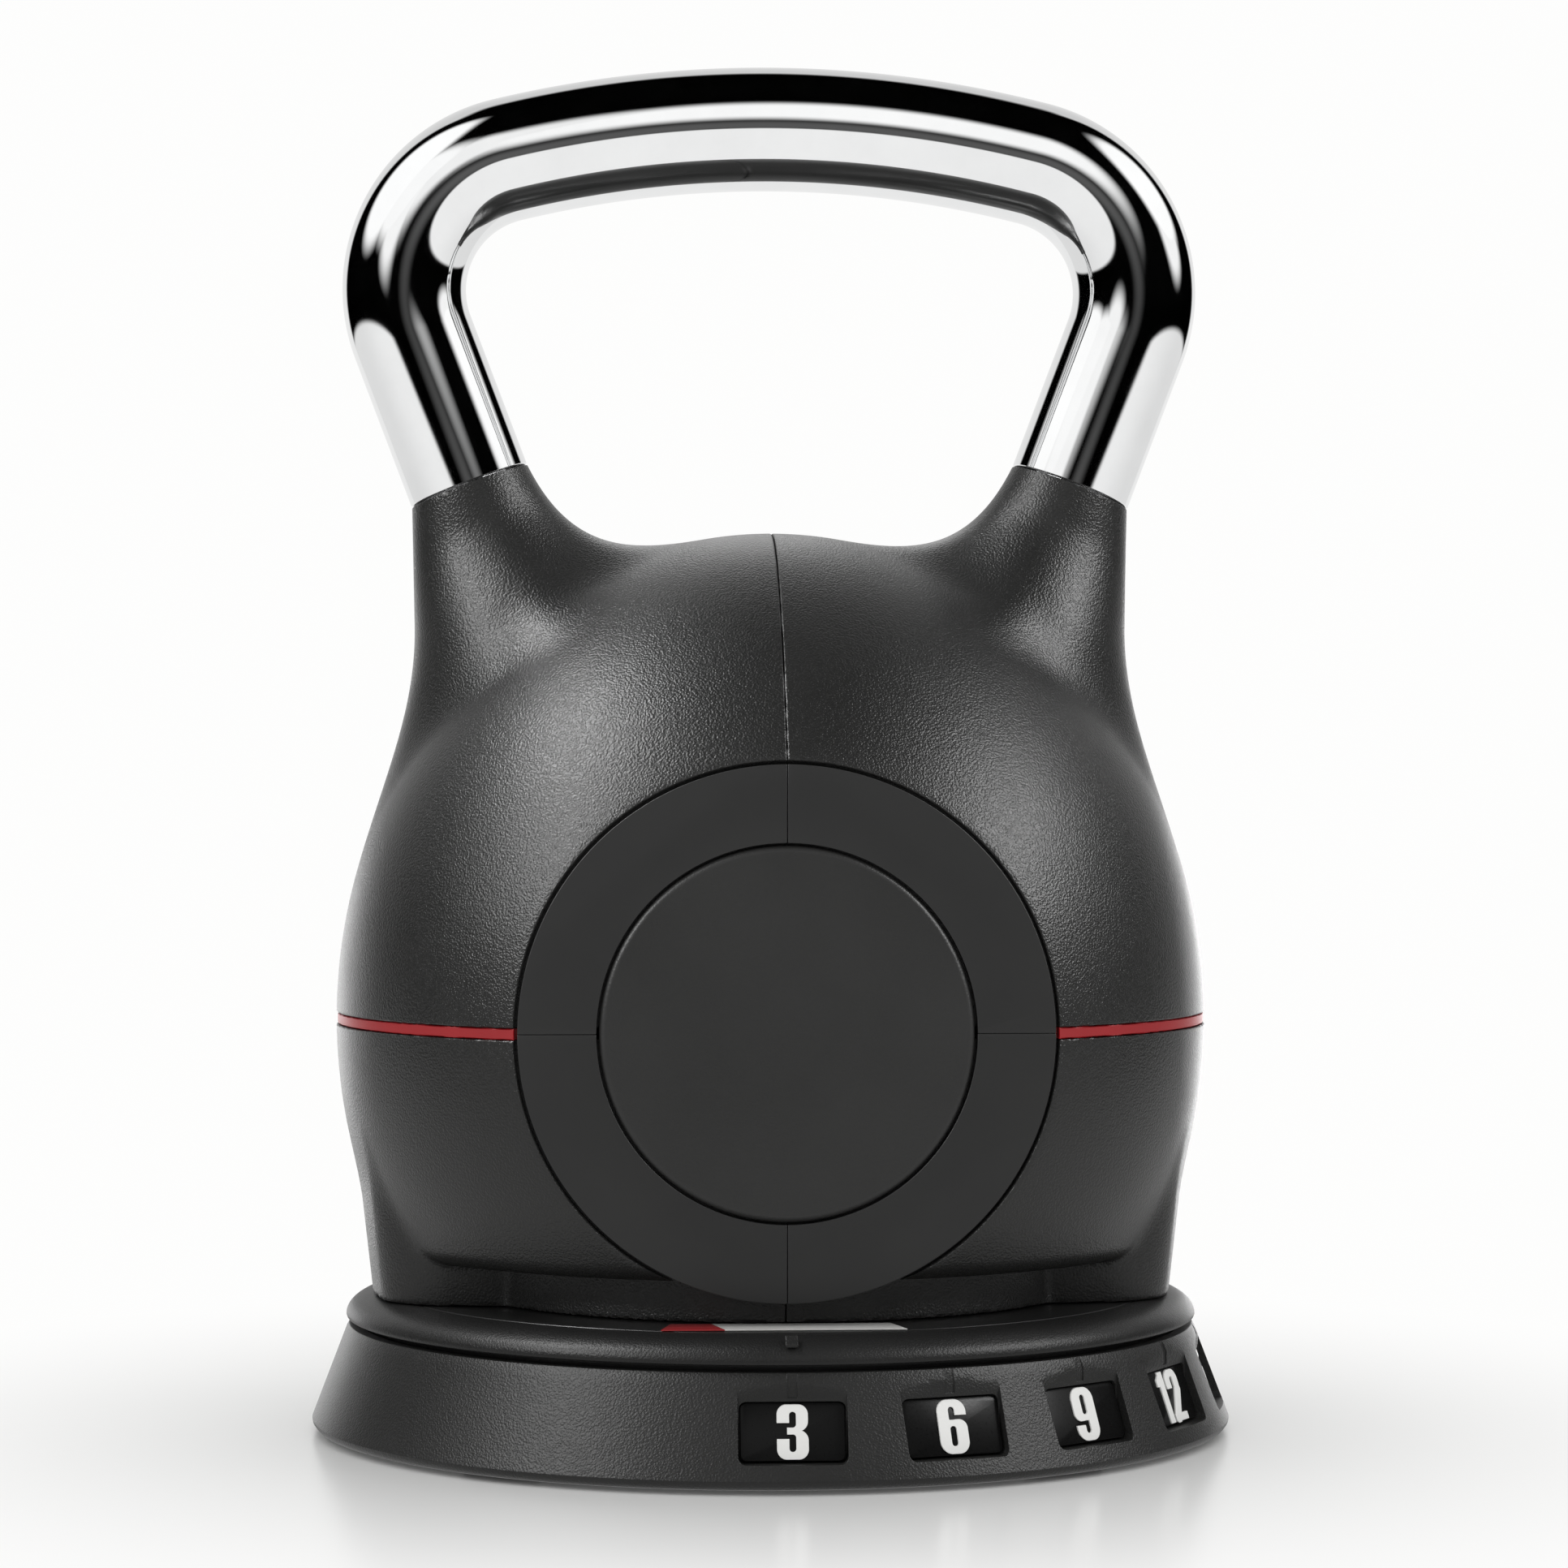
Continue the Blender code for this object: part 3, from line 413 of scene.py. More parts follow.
def surface_net(name, field, axes, polish=3):
    """The zero surface of a field as quads, with one point in each crossed cell."""
    values = field(*np.meshgrid(*axes, indexing="ij"))
    inside = values < 0.0
    shape = np.array(values.shape)
    strides = np.array([shape[1] * shape[2], shape[2], 1])
    cells, places, quads = [], [], []
    for axis in range(3):
        a, b = [n for n in range(3) if n != axis]
        near = np.take(inside, range(shape[axis] - 1), axis)
        far = np.take(inside, range(1, shape[axis]), axis)
        edge = np.argwhere(near != far)
        flat = edge @ strides
        v0 = values.reshape(-1)[flat]
        v1 = values.reshape(-1)[flat + strides[axis]]
        point = np.stack([axes[n][edge[:, n]] for n in range(3)], 1)
        step = axes[axis][edge[:, axis] + 1] - axes[axis][edge[:, axis]]
        point[:, axis] += step * v0 / (v0 - v1)
        around = [flat - strides[a] - strides[b], flat - strides[b], flat, flat - strides[a]]
        cells += around
        places += [point] * 4
        quad = np.stack(around, 1)
        outward = (v0 < 0) != (axis == 1)
        quad[~outward] = quad[~outward][:, ::-1]
        quads.append(quad)
    cells = np.concatenate(cells)
    places = np.concatenate(places)
    used, index = np.unique(cells, return_inverse=True)
    count = np.bincount(index)
    points = np.stack([np.bincount(index, places[:, n]) / count for n in range(3)], 1)
    quads = np.searchsorted(used, np.concatenate(quads))
    for _ in range(polish):
        points = onto_surface(points, field)
    mesh = bpy.data.meshes.new(name)
    mesh.from_pydata((points * MM).tolist(), [], quads.tolist())
    return new_object(name, mesh)


def onto_surface(points, field, reach=0.02):
    """Move points along the field's slope to where it is zero."""
    value = field(*points.T)
    slope = np.empty_like(points)
    for axis in range(3):
        shift = np.zeros(3)
        shift[axis] = reach
        slope[:, axis] = (field(*(points + shift).T) - field(*(points - shift).T)) / (2 * reach)
    steep = np.maximum((slope ** 2).sum(1), 0.25)
    move = -slope * (value / steep)[:, None]
    length = np.linalg.norm(move, axis=1)
    move *= np.minimum(1.0, 0.6 / np.maximum(length, 1e-9))[:, None]
    return points + move


# -------------------------------------------------------------------- body shells


def seat_cutter(side):
    """The round recess for the ring, with a softly rounded lip."""
    lip = 0.8
    outline = [(0.0, SEAT), (SEAT_RADIUS, SEAT), (SEAT_RADIUS, FACE - lip - 0.6)]
    outline += [(SEAT_RADIUS + lip - r, h) for r, h in arc((0.0, FACE - lip - 0.6), lip, 10, 80, 6)]
    wide, clear = SEAT_RADIUS + 1.2, FACE + 40.0
    outline += [(wide, FACE + 0.4), (wide, clear), (0.0, clear)]
    return facing(turned("seat_cutter", outline, ring=False), side)


def leg_cutter(side):
    """Squares the horn's end off with a rounded lip, and drills it for the handle's core."""
    lip, depth, clear = 0.5, 42.0, 12.0
    outer = TUBE_RADIUS + 0.17
    outline = [(0.0, -depth), (TUBE_BORE, -depth), (TUBE_BORE, 0.0)]
    outline += arc((outer - lip, -lip), lip, 90, 0, 6)
    outline += [(outer + 2.0, -lip), (outer + 2.0, clear), (0.0, clear)]
    cutter = turned("leg_cutter", outline, sides=96, ring=False)
    origin, _ = leg_frame(side)
    turn = Matrix.Rotation(side * LEG_TILT, 4, "Y")
    return place(cutter, Matrix.Translation(Vector(origin) * MM) @ turn)


def disc(name, radius, low, high, sides):
    """A plain turned cylinder, to cut with or to add."""
    return turned(name, [(0, low), (radius, low), (radius, high), (0, high)], sides=sides, ring=False)


def moved(obj, x=0.0, y=0.0):
    return place(obj, Matrix.Translation((x * MM, y * MM, 0)))


def body_piece(name, low, high, drop, edge):
    """A slice of the body's left half between two heights, its surface set in by a drop."""

    def field(x, y, z):
        body = body_field(x, y, z) + drop
        body = cut(body, x + SEAM, 0.45)
        return cut(body, np.maximum(low - z, z - high), edge)

    fine, coarse = 0.13, 1.3
    xs = graded([(-109.0, coarse), (-4.0, coarse), (-0.6, fine), (0.6, fine)])
    ys = graded([(-86.2, coarse), (86.2, coarse)])
    bottom = [(low - 0.6, fine), (low + 0.6, fine), (low + 4.0, coarse)]
    top = [(high - 4.0, coarse), (high - 0.6, fine), (high + 0.6, fine)]
    if low < BODY_LOW:
        bottom = [(BODY_LOW - 1.0, 0.5), (BODY_LOW + 2.0, 0.5), (BODY_LOW + 12.0, 1.0)]
    if high > CUT_LEVEL:
        top = [(246.0, coarse)]
    if high - low < 8.0:
        bottom, top = [(low - 0.6, 0.2)], [(high + 0.6, 0.2)]
    return surface_net(name, field, (xs, ys, graded(bottom + top)))


def make_body():
    """The two shells and the trim: the left pieces, and their mirror images on the right."""
    gap = TRIM_HALF + TRIM_GAP
    spans = ((-110.0, 110.0), (-80.0, 80.0), (40.0, 232.0))
    void = surface_net("void", void_field, [graded([(low, 2.8), (high, 2.8)]) for low, high in spans])
    pieces = {
        "upper_shell": ("shell_black", BALL_Z + gap, 300.0, 0.0, 0.22),
        "lower_shell": ("shell_black", 0.0, BALL_Z - gap, 0.0, 0.22),
        "red_trim": ("trim_red", BALL_Z - TRIM_HALF, BALL_Z + TRIM_HALF, TRIM_DROP, 0.25),
    }
    for kind, (slot, low, high, drop, edge) in pieces.items():
        piece = body_piece(f"{kind}_left_look", low, high, drop, edge)
        combine(piece, void, keep=True)
        for side, _ in FACES:
            combine(piece, seat_cutter(side))
        if kind == "upper_shell":
            combine(piece, leg_cutter(-1))
        if kind == "red_trim":
            for side, _ in FACES:
                combine(piece, facing(disc("inside", RING_OUTER - 4.0, 60.0, 120.0, 128), side))
        if kind == "lower_shell":
            combine(piece, disc("bore", BORE_RADIUS, 20.0, BORE_TOP, 192))
            combine(piece, moved(disc("peg_hole", PEG_RADIUS + 0.5, 20.0, 42.0, 48), x=-PEG_OUTER_X))
        twin = mirrored(piece, f"{kind}_right_look")
        finish_piece(piece, "kettlebell", slot, f"{kind}_left")
        finish_piece(twin, "kettlebell", slot, f"{kind}_right")
    bpy.data.objects.remove(void)


# ---------------------------------------------------------------- rings and caps


RING_GAPS = (0.07, 0.035)   # half the gap at 12 and 6 o'clock, and at 3 and 9


def ring_quarter(name, across, up, side):
    """A quarter of the ring, laid on the front or the back, its edges bevelled."""

    def swept(radius):
        end, start = (math.degrees(math.asin(gap / radius)) for gap in RING_GAPS)
        return arc((0.0, 0.0), radius, start, 90.0 - end, 48)

    panel = prism(name, swept(RING_OUTER) + swept(RING_INNER)[::-1], SEAT + SEAT_GAP, FACE - 0.2)
    bevel(panel, 0.2, 3)
    place(panel, Matrix.Diagonal((across, -side * up, 1, 1)))
    return facing(panel, side)


def cap_profile():
    """A slightly crowned face with a rounded rim."""
    crown = FACE + 0.4
    points = [(0.0, crown)]
    for share in (0.2, 0.4, 0.6, 0.75, 0.85, 0.92):
        points.append((CAP_RADIUS * share, crown - 0.35 * share ** 2.5))
    points += arc((CAP_RADIUS - 1.7, crown - 2.0), 1.7, 88, 4, 10)
    return points + [(CAP_RADIUS, SEAT + SEAT_GAP), (0.0, SEAT + SEAT_GAP)]


def make_faces():
    for side, face in FACES:
        for vertical, up in (("upper", 1), ("lower", -1)):
            for hand, across in (("left", -1), ("right", 1)):
                node = f"{face}_ring_{vertical}_{hand}"
                panel = ring_quarter(node + "_look", across, up, side)
                finish_piece(panel, "kettlebell", "ring_black", node)
        cap = facing(turned(f"{face}_cap_look", cap_profile(), sides=224, ring=False), side)
        finish_piece(cap, "kettlebell", "cap_black", f"{face}_cap")


# ------------------------------------------------------------------------ handle


def handle_route():
    """Points (x, z) and angles from level along the tube's centre line, left to right."""
    spread = math.asin(BEND_X / (BAR_ARC - BEND_RADIUS))
    right = []
    for angle in np.linspace(0.0, spread, 36):
        right.append((BAR_ARC * math.sin(angle), BAR_ARC_Z + BAR_ARC * math.cos(angle), angle))
    for angle in np.linspace(spread, math.pi / 2 + LEG_TILT, 60)[1:]:
        x, z = BEND_RADIUS * math.sin(angle), BEND_RADIUS * math.cos(angle)
        right.append((BEND_X + x, BEND_Z + z, angle))
    origin, axis = leg_frame(1)
    end = origin - axis * HANDLE_GAP
    bend_x, bend_z, tilt = right[-1]
    for share in np.linspace(0.0, 1.0, 16)[1:]:
        right.append((bend_x + (end[0] - bend_x) * share, bend_z + (end[2] - bend_z) * share, tilt))
    return [(-x, z, -angle) for x, z, angle in right[:0:-1]] + right


def make_handle():
    """The bent tube with its bore, and ends with a small chamfer."""
    sides = 96
    route = handle_route()
    rings = [(x, z, angle, TUBE_RADIUS) for x, z, angle in route]
    for index, inward in ((0, TUBE_CHAMFER), (-1, -TUBE_CHAMFER)):
        x, z, angle = route[index]
        rings[index] = (x + math.cos(angle) * inward, z - math.sin(angle) * inward, angle, TUBE_RADIUS)
    rings.insert(0, (*route[0], TUBE_RADIUS - TUBE_CHAMFER))
    rings.append((*route[-1], TUBE_RADIUS - TUBE_CHAMFER))
    rings += [(x, z, angle, TUBE_BORE) for x, z, angle in route[::-1]]
    points, faces = [], []
    for x, z, angle, radius in rings:
        for turn in np.arange(sides) * math.tau / sides:
            out, y = radius * math.cos(turn), radius * math.sin(turn)
            points.append((x + out * math.sin(angle), y, z + out * math.cos(angle)))
    count = len(rings)
    for row in range(count):
        faces += band(row * sides, (row + 1) % count * sides, sides)
    handle = make_object("handle_look", points, faces)
    finish_piece(handle, "kettlebell", "chrome", "handle")


# --------------------------------------------------------------------- turntable


def make_turntable():
    """The rim, the deck with its pegs and dimples, and the label."""
    inner = DECK_RADIUS + 0.35
    shoulder, foot = 94.8, RIM_LOW + 0.7
    across, rise = RIM_RADIUS - shoulder, DECK_TOP - foot
    profile = [(inner, RIM_LOW), (inner, DECK_TOP - 0.3), (inner + 0.3, DECK_TOP)]
    for angle in np.radians(np.linspace(90, 0, 22)):
        profile.append((shoulder + across * math.cos(angle), foot + rise * math.sin(angle)))
    profile += [(RIM_RADIUS - 0.15, RIM_LOW + 0.25), (RIM_RADIUS - 0.6, RIM_LOW)]
    rim = turned("turntable_rim_look", profile)
    finish_piece(rim, "turntable", "rim_black", "turntable_rim")

    skirt_low = extent("turntable_deck")[0][2]
    edge, under, hole = 0.3, DECK_TOP - 4.0, 8.0
    profile = [
        (hole, DECK_TOP), (DECK_RADIUS - edge, DECK_TOP), (DECK_RADIUS, DECK_TOP - edge),
        (DECK_RADIUS, RIM_LOW - edge), (99.2, RIM_LOW - edge), (99.2, skirt_low), (92.0, skirt_low),
        (90.0, 25.0), (78.0, 25.0), (77.0, under), (hole, under),
    ]
    deck = turned("turntable_deck_look", profile)
    root, chamfer = DECK_TOP - 2.0, 0.8
    for side, _ in SIDES:
        for at, top in ((PEG_OUTER_X, 41.0), (PEG_INNER_X, 38.1)):
            outline = [(0, root), (PEG_RADIUS, root), (PEG_RADIUS, top - chamfer),
                       (PEG_RADIUS - chamfer, top), (0, top)]
            combine(deck, moved(turned("peg", outline, sides=48, ring=False), x=side * at), "UNION")
    for step in range(len(NUMBERS)):
        outline = [(0, 28.6), (5.2, 28.6), (2.0, 31.0), (0, 31.0)]
        dimple = moved(turned("dimple", outline, sides=32, ring=False), y=-CLICK_RADIUS)
        combine(deck, spin(dimple, CLICK_ANGLE - step * NUMBER_PITCH))
    finish_piece(deck, "turntable", "deck_black", "turntable_deck")

    label_low, label_high = extent("label_strip")
    left, right, front, back = label_low[0], label_high[0], -88.0, -77.0
    outline = [(left, front), (right, front), (right - 3.0, back), (left + 2.5, back)]
    label = prism("label_strip_look", outline, label_low[2], label_high[2])
    bevel(label, 0.08, 2)
    finish_piece(label, "turntable", "label_white", "label_strip")


# -------------------------------------------------------------------------- dock

NUMBERS = (3, 6, 9, 12, 15)
NUMBER_PITCH = 20.0
WINDOW_HALF = 12.0
WINDOW_LOW, WINDOW_HIGH = 6.9, 19.9
WINDOW_MIDDLE = (WINDOW_LOW + WINDOW_HIGH) / 2
WINDOW_CORNER = 1.7
WINDOW_FACE = 104.5
WINDOW_BACK = 99.0
WINDOW_FRAME = 3.0
TICK_DEPTH = 0.25
TICK_HALF = 1.15
TILE_FRONT = 105.9
TILE_BACK = 104.4
TILE_SLOPE = 0.35
TILE_GAP = 0.3
FAR_OUT = 150.0         # the far end of the cuts made from outside
WALL_TOP_RADIUS = 103.5
WALL_THICKNESS = 3.4
WALL_CURL = 3.2         # below this height the wall curls in
WALL_SLOPE = (DOCK_BASE_RADIUS - WALL_TOP_RADIUS) / (DOCK_HEIGHT - WALL_CURL)
DOCK_LOW = 1.0
FLOOR_LOW, FLOOR_HIGH = 20.6, 22.6   # the dock's inner floor


def wall_radius(height):
    return WALL_TOP_RADIUS + WALL_SLOPE * (DOCK_HEIGHT - height)


def housing_profile():
    """The flared wall with its softened edges, and the floor that the turntable runs on."""
    top, foot = WALL_TOP_RADIUS, wall_radius(WALL_CURL)
    profile = [(top - 2.6, DOCK_HEIGHT), (top - 0.5, DOCK_HEIGHT), (top - 0.15, DOCK_HEIGHT - 0.12),
               (top + 0.05, DOCK_HEIGHT - 0.5)]
    profile += [(wall_radius(h), h) for h in np.linspace(DOCK_HEIGHT - 1.2, WALL_CURL, 14)]
    profile += [(foot - 0.15, WALL_CURL - 0.7), (foot - 0.6, WALL_CURL - 1.35),
                (foot - 1.2, DOCK_LOW + 0.3), (foot - 2.1, DOCK_LOW),
                (wall_radius(DOCK_LOW) - WALL_THICKNESS - 0.8, DOCK_LOW),
                (wall_radius(FLOOR_LOW) - WALL_THICKNESS, FLOOR_LOW),
                (9.0, FLOOR_LOW), (9.0, FLOOR_HIGH),
                (wall_radius(FLOOR_HIGH) - WALL_THICKNESS, FLOOR_HIGH)]
    return profile


def rounded_rectangle(half_width, low, high, corner, steps=6):
    """An outline of (x, z) points, anticlockwise from the lower right corner."""
    points = arc((half_width - corner, low + corner), corner, -90, 0, steps)
    points += arc((half_width - corner, high - corner), corner, 0, 90, steps)
    points += arc((corner - half_width, high - corner), corner, 90, 180, steps)
    points += arc((corner - half_width, low + corner), corner, 180, 270, steps)
    return points


def window_plate(name, outline, near, far, slope, angle):
    """An outline (x, z) between two distances from the axis, leaning back by a slope."""
    count = len(outline)
    points = [(x, -depth + slope * (z - WINDOW_MIDDLE), z) for depth in (far, near) for x, z in outline]
    faces = [list(range(count)), list(range(count, 2 * count))[::-1]] + band(0, count, count)
    return spin(make_object(name, points, faces), angle)


def frame_window(housing, cone, angle):
    """Thicken the wall round a window, out to just under its surface."""
    half = WINDOW_HALF + WINDOW_FRAME
    block = box("block", (-half, -FAR_OUT, WINDOW_LOW - 1.6), (half, -WINDOW_BACK, FLOOR_LOW + 0.4))
    combine(spin(block, angle), cone, "INTERSECT", keep=True)
    combine(housing, block, "UNION")


def cut_window(housing, angle):
    """The flat above and round a window, its opening, and the line over its middle."""
    outline = rounded_rectangle(WINDOW_HALF + 0.3, WINDOW_LOW - 0.25, 60.0, WINDOW_CORNER)
    combine(housing, window_plate("pocket", outline, WINDOW_FACE, FAR_OUT, 0.0, angle))
    outline = rounded_rectangle(WINDOW_HALF, WINDOW_LOW, WINDOW_HIGH, WINDOW_CORNER)
    combine(housing, window_plate("opening", outline, TILE_BACK - 0.3, FAR_OUT, TILE_SLOPE, angle))
    low, high = WINDOW_HIGH + 0.8, 40.0
    tick = [(-TICK_HALF, low), (TICK_HALF, low), (TICK_HALF, high), (-TICK_HALF, high)]
    for reach, slope in ((WINDOW_FACE, 0.0), (wall_radius(WINDOW_MIDDLE), WALL_SLOPE)):
        combine(housing, window_plate("tick", tick, reach - TICK_DEPTH, FAR_OUT, slope, angle))


def make_tile(number, angle):
    outline = rounded_rectangle(WINDOW_HALF - TILE_GAP, WINDOW_LOW + TILE_GAP, WINDOW_HIGH - TILE_GAP,
                                WINDOW_CORNER - TILE_GAP)
    name = f"number_tile_{number}"
    tile = window_plate(f"{name}_look", outline, TILE_BACK, TILE_FRONT, TILE_SLOPE, angle)
    bevel(tile, 0.2, 2)
    finish_piece(tile, "dock", "tile_black", name)


def make_housing():
    """The dock's housing with its five windows, their tiles and numbers, and its screw bosses."""
    housing = turned("dock_housing_look", housing_profile())
    base, top = (wall_radius(height) - 0.6 for height in (0.0, DOCK_HEIGHT))
    outline = [(0, 0), (base, 0), (top, DOCK_HEIGHT), (0, DOCK_HEIGHT)]
    cone = turned("cone", outline, ring=False)
    windows = [(number, step * NUMBER_PITCH) for step, number in enumerate(NUMBERS)]
    for _, angle in windows:
        frame_window(housing, cone, angle)
    bpy.data.objects.remove(cone)
    for number, angle in windows:
        cut_window(housing, angle)
        make_tile(number, angle)
        make_numeral(number, angle)
    hole = moved(disc("hole", 4.4, 10.0, 40.0, 32), y=-CLICK_RADIUS)
    combine(housing, spin(hole, CLICK_ANGLE))
    for index in range(4):
        angle = 45.0 + 90.0 * index
        boss = moved(disc("boss", 5.0, 5.2, FLOOR_LOW + 0.5, 32), y=-SCREW_RADIUS)
        combine(housing, spin(boss, angle), "UNION")
        thread = moved(disc("thread", 2.3, 0.0, 19.5, 24), y=-SCREW_RADIUS)
        combine(housing, spin(thread, angle))
    finish_piece(housing, "dock", "dock_black", "dock_housing")


SPRING_WIRE = 0.6
SPRING_TURNS = 4


def make_spring():
    """The click stop's coil, at its length in the CAD frame; the mesh does not shorten as the pin goes
    down.
    """
    low, high = extent("detent_spring")
    x, y, _ = (low + high) / 2
    radius = (high[1] - low[1]) / 2 - SPRING_WIRE
    rise = high[2] - low[2] - 2 * SPRING_WIRE
    around, per_turn = 12, 32
    count = SPRING_TURNS * per_turn + 1
    points, faces = [], []
    for step in range(count):
        angle = math.tau * step / per_turn
        height = low[2] + SPRING_WIRE + rise * step / (count - 1)
        for turn in np.arange(around) * math.tau / around:
            out = radius + SPRING_WIRE * math.cos(turn)
            up = SPRING_WIRE * math.sin(turn)
            points.append((x + out * math.cos(angle), y + out * math.sin(angle), height + up))
    for row in range(count - 1):
        faces += band(row * around, (row + 1) * around, around)
    faces += [list(range(around))[::-1], list(range((count - 1) * around, count * around))]
    spring = make_object("detent_spring_look", points, faces)
    finish_piece(spring, "dock", "steel", "detent_spring")
    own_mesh(spring)


# ---------------------------------------------------------------------- numerals

# Each figure is a field over (u, h), millimetres to the right of and above its middle.
DIGIT_HALF = (3.55, 5.85)
SLOT_HALF = 0.75        # half the width of the gaps inside a figure


def bar(u, h, u_range, h_range, corner):
    """A rectangle with rounded corners, as a field."""
    (u0, u1), (h0, h1) = u_range, h_range
    du = np.abs(u - (u0 + u1) / 2) - (u1 - u0) / 2 + corner
    dh = np.abs(h - (h0 + h1) / 2) - (h1 - h0) / 2 + corner
    return np.hypot(np.maximum(du, 0), np.maximum(dh, 0)) + np.minimum(np.maximum(du, dh), 0) - corner


def without(shape, *holes):
    for hole in holes:
        shape = np.maximum(shape, -hole)
    return shape


def digit_6(u, h):
    wide, tall = DIGIT_HALF
    outer = bar(u, h, (-wide, wide), (-tall, tall), 2.7)
    bowl = bar(u, h, (-wide, wide), (-tall, 1.5), 1.9)
    counter = bar(u, h, (-SLOT_HALF, SLOT_HALF), (-4.2, 0.1), 0.7)
    slot = bar(u, h, (-SLOT_HALF, SLOT_HALF), (1.0, 4.2), 0.7)
    mouth = np.maximum(bar(u, h, (0.0, 9.0), (-1.0, 2.4), 0.1), -bowl)
    return without(outer, counter, np.maximum(slot, 1.45 - h), mouth)


def digit_9(u, h):
    return digit_6(-u, -h)


def digit_3(u, h):
    wide, tall = DIGIT_HALF
    upper = bar(u, h, (-wide, wide - 0.1), (0.1, tall), 2.2)
    lower = bar(u, h, (-wide, wide), (-tall, 0.35), 2.2)
    outer = np.minimum(upper, lower)
    slots = [bar(u, h, (-SLOT_HALF, SLOT_HALF), (0.9, 4.25), 0.7),
             bar(u, h, (-SLOT_HALF, SLOT_HALF), (-4.25, -0.55), 0.7)]
    mouths = [bar(u, h, (-9.0, 0.0), (0.9, 1.9), 0.1), bar(u, h, (-9.0, 0.0), (-1.5, -0.55), 0.1),
              bar(u, h, (-9.0, -1.25), (-1.5, 1.9), 0.1)]
    return without(outer, *slots, *mouths)


def digit_1(u, h):
    _, tall = DIGIT_HALF
    stem = bar(u, h, (-0.7, 1.9), (-tall, tall), 0.1)
    flag = np.maximum(bar(u, h, (-2.1, 0.5), (2.6, tall), 0.1), (h - 4.1 - (u + 2.1) * 0.75) * 0.8)
    return np.minimum(stem, flag)


def digit_2(u, h):
    wide, tall = DIGIT_HALF
    outer = bar(u, h, (-wide, wide), (0.0, tall), 2.6)
    slot = bar(u, h, (-SLOT_HALF, SLOT_HALF), (-1.0, 4.2), 0.7)
    top = np.maximum(without(outer, slot), np.where(u < 0, 1.6 - h, 0.7 - h))
    base = bar(u, h, (-wide, wide), (-tall, -4.15), 0.1)
    along = np.clip(((2.15 - u) * 4.2 + (1.2 - h) * 6.2) / (4.2 ** 2 + 6.2 ** 2), 0.0, 1.0)
    stroke = np.hypot(u - 2.15 + 4.2 * along, h - 1.2 + 6.2 * along) - 1.4
    return np.minimum(np.minimum(top, base), stroke)


def digit_5(u, h):
    wide, tall = DIGIT_HALF
    top = bar(u, h, (-wide + 0.1, wide - 0.2), (4.1, tall), 0.1)
    stem = bar(u, h, (-wide + 0.1, -SLOT_HALF), (-0.3, tall), 0.1)
    bowl = bar(u, h, (-wide, wide), (-tall, 1.9), 2.3)
    slot = bar(u, h, (-SLOT_HALF, SLOT_HALF), (-4.2, 0.3), 0.7)
    mouth = bar(u, h, (-9.0, 0.0), (-1.6, -0.3), 0.1)
    return np.minimum(np.minimum(top, stem), without(bowl, slot, mouth))


DIGITS = {1: digit_1, 2: digit_2, 3: digit_3, 5: digit_5, 6: digit_6, 9: digit_9}


def make_numeral(number, angle):
    """White figures, slightly raised on the tile."""
    digits = [DIGITS[int(figure)] for figure in str(number)]
    shifts, reach = ((0.0,), 3.9) if len(digits) == 1 else ((-3.9, 2.5), 6.6)
    raised, fine = 0.32, 0.09

    def field(u, depth, h):
        shape = np.minimum.reduce([digit(u - shift, h) for digit, shift in zip(digits, shifts)])
        return cut(shape, np.abs(depth) - raised, 0.12)

    axes = [graded([(-half, fine), (half, fine)]) for half in (reach, 0.5, 6.1)]
    numeral = surface_net(f"numeral_{number}", field, axes, polish=1)
    slant = Matrix.Identity(4)
    slant[1][2] = TILE_SLOPE
    slant[1][3] = -(TILE_FRONT + 0.1) * MM
    slant[2][3] = WINDOW_MIDDLE * MM
    spin(place(numeral, slant), angle)
    finish_piece(numeral, "dock", "numeral_white")


# --------------------------------------------------------------------- materials


class Nodes:
    """Short ways to add nodes to one material or world."""

    def __init__(self, tree):
        self.tree = tree
        tree.nodes.clear()

    def add(self, kind, **settings):
        node = self.tree.nodes.new("ShaderNode" + kind)
        for key, value in settings.items():
            setattr(node, key, value)
        return node

    def link(self, value, socket):
        if isinstance(value, bpy.types.NodeSocket):
            self.tree.links.new(value, socket)
        else:
            socket.default_value = value

    def math(self, operation, *values):
        node = self.add("Math", operation=operation)
        for value, socket in zip(values, node.inputs):
            self.link(value, socket)
        return node.outputs[0]

    def range(self, value, low, high, to_low=0.0, to_high=1.0, kind="SMOOTHSTEP"):
        node = self.add("MapRange", interpolation_type=kind, clamp=True)
        for given, socket in zip((value, low, high, to_low, to_high), node.inputs):
            self.link(given, socket)
        return node.outputs[0]

    def noise(self, vector, size, detail=4.0, roughness=0.55):
        """Noise whose features are about this many millimetres across."""
        node = self.add("TexNoise")
        self.link(vector, node.inputs["Vector"])
        self.link(1.0 / (size * MM), node.inputs["Scale"])
        self.link(detail, node.inputs["Detail"])
        self.link(roughness, node.inputs["Roughness"])
        return node.outputs[0]

    def cells(self, vector, size):
        """How far it is to the middle of a pebble, for pebbles this many millimetres across."""
        node = self.add("TexVoronoi", feature="SMOOTH_F1")
        self.link(vector, node.inputs["Vector"])
        self.link(1.0 / (size * MM), node.inputs["Scale"])
        return node.outputs["Distance"]

    def blend_colors(self, factor, first, second):
        node = self.add("Mix", data_type="RGBA")
        for given, socket in ((factor, 0), (first, 6), (second, 7)):
            self.link(given, node.inputs[socket])
        return node.outputs[2]

    def patchy(self, factor, dark, light):
        """A colour that wanders between a dark and a light one."""
        return self.blend_colors(self.range(factor, 0.3, 0.7, kind="LINEAR"), rgba(*dark), rgba(*light))


def rgba(red, green, blue):
    return (red, green, blue, 1.0)


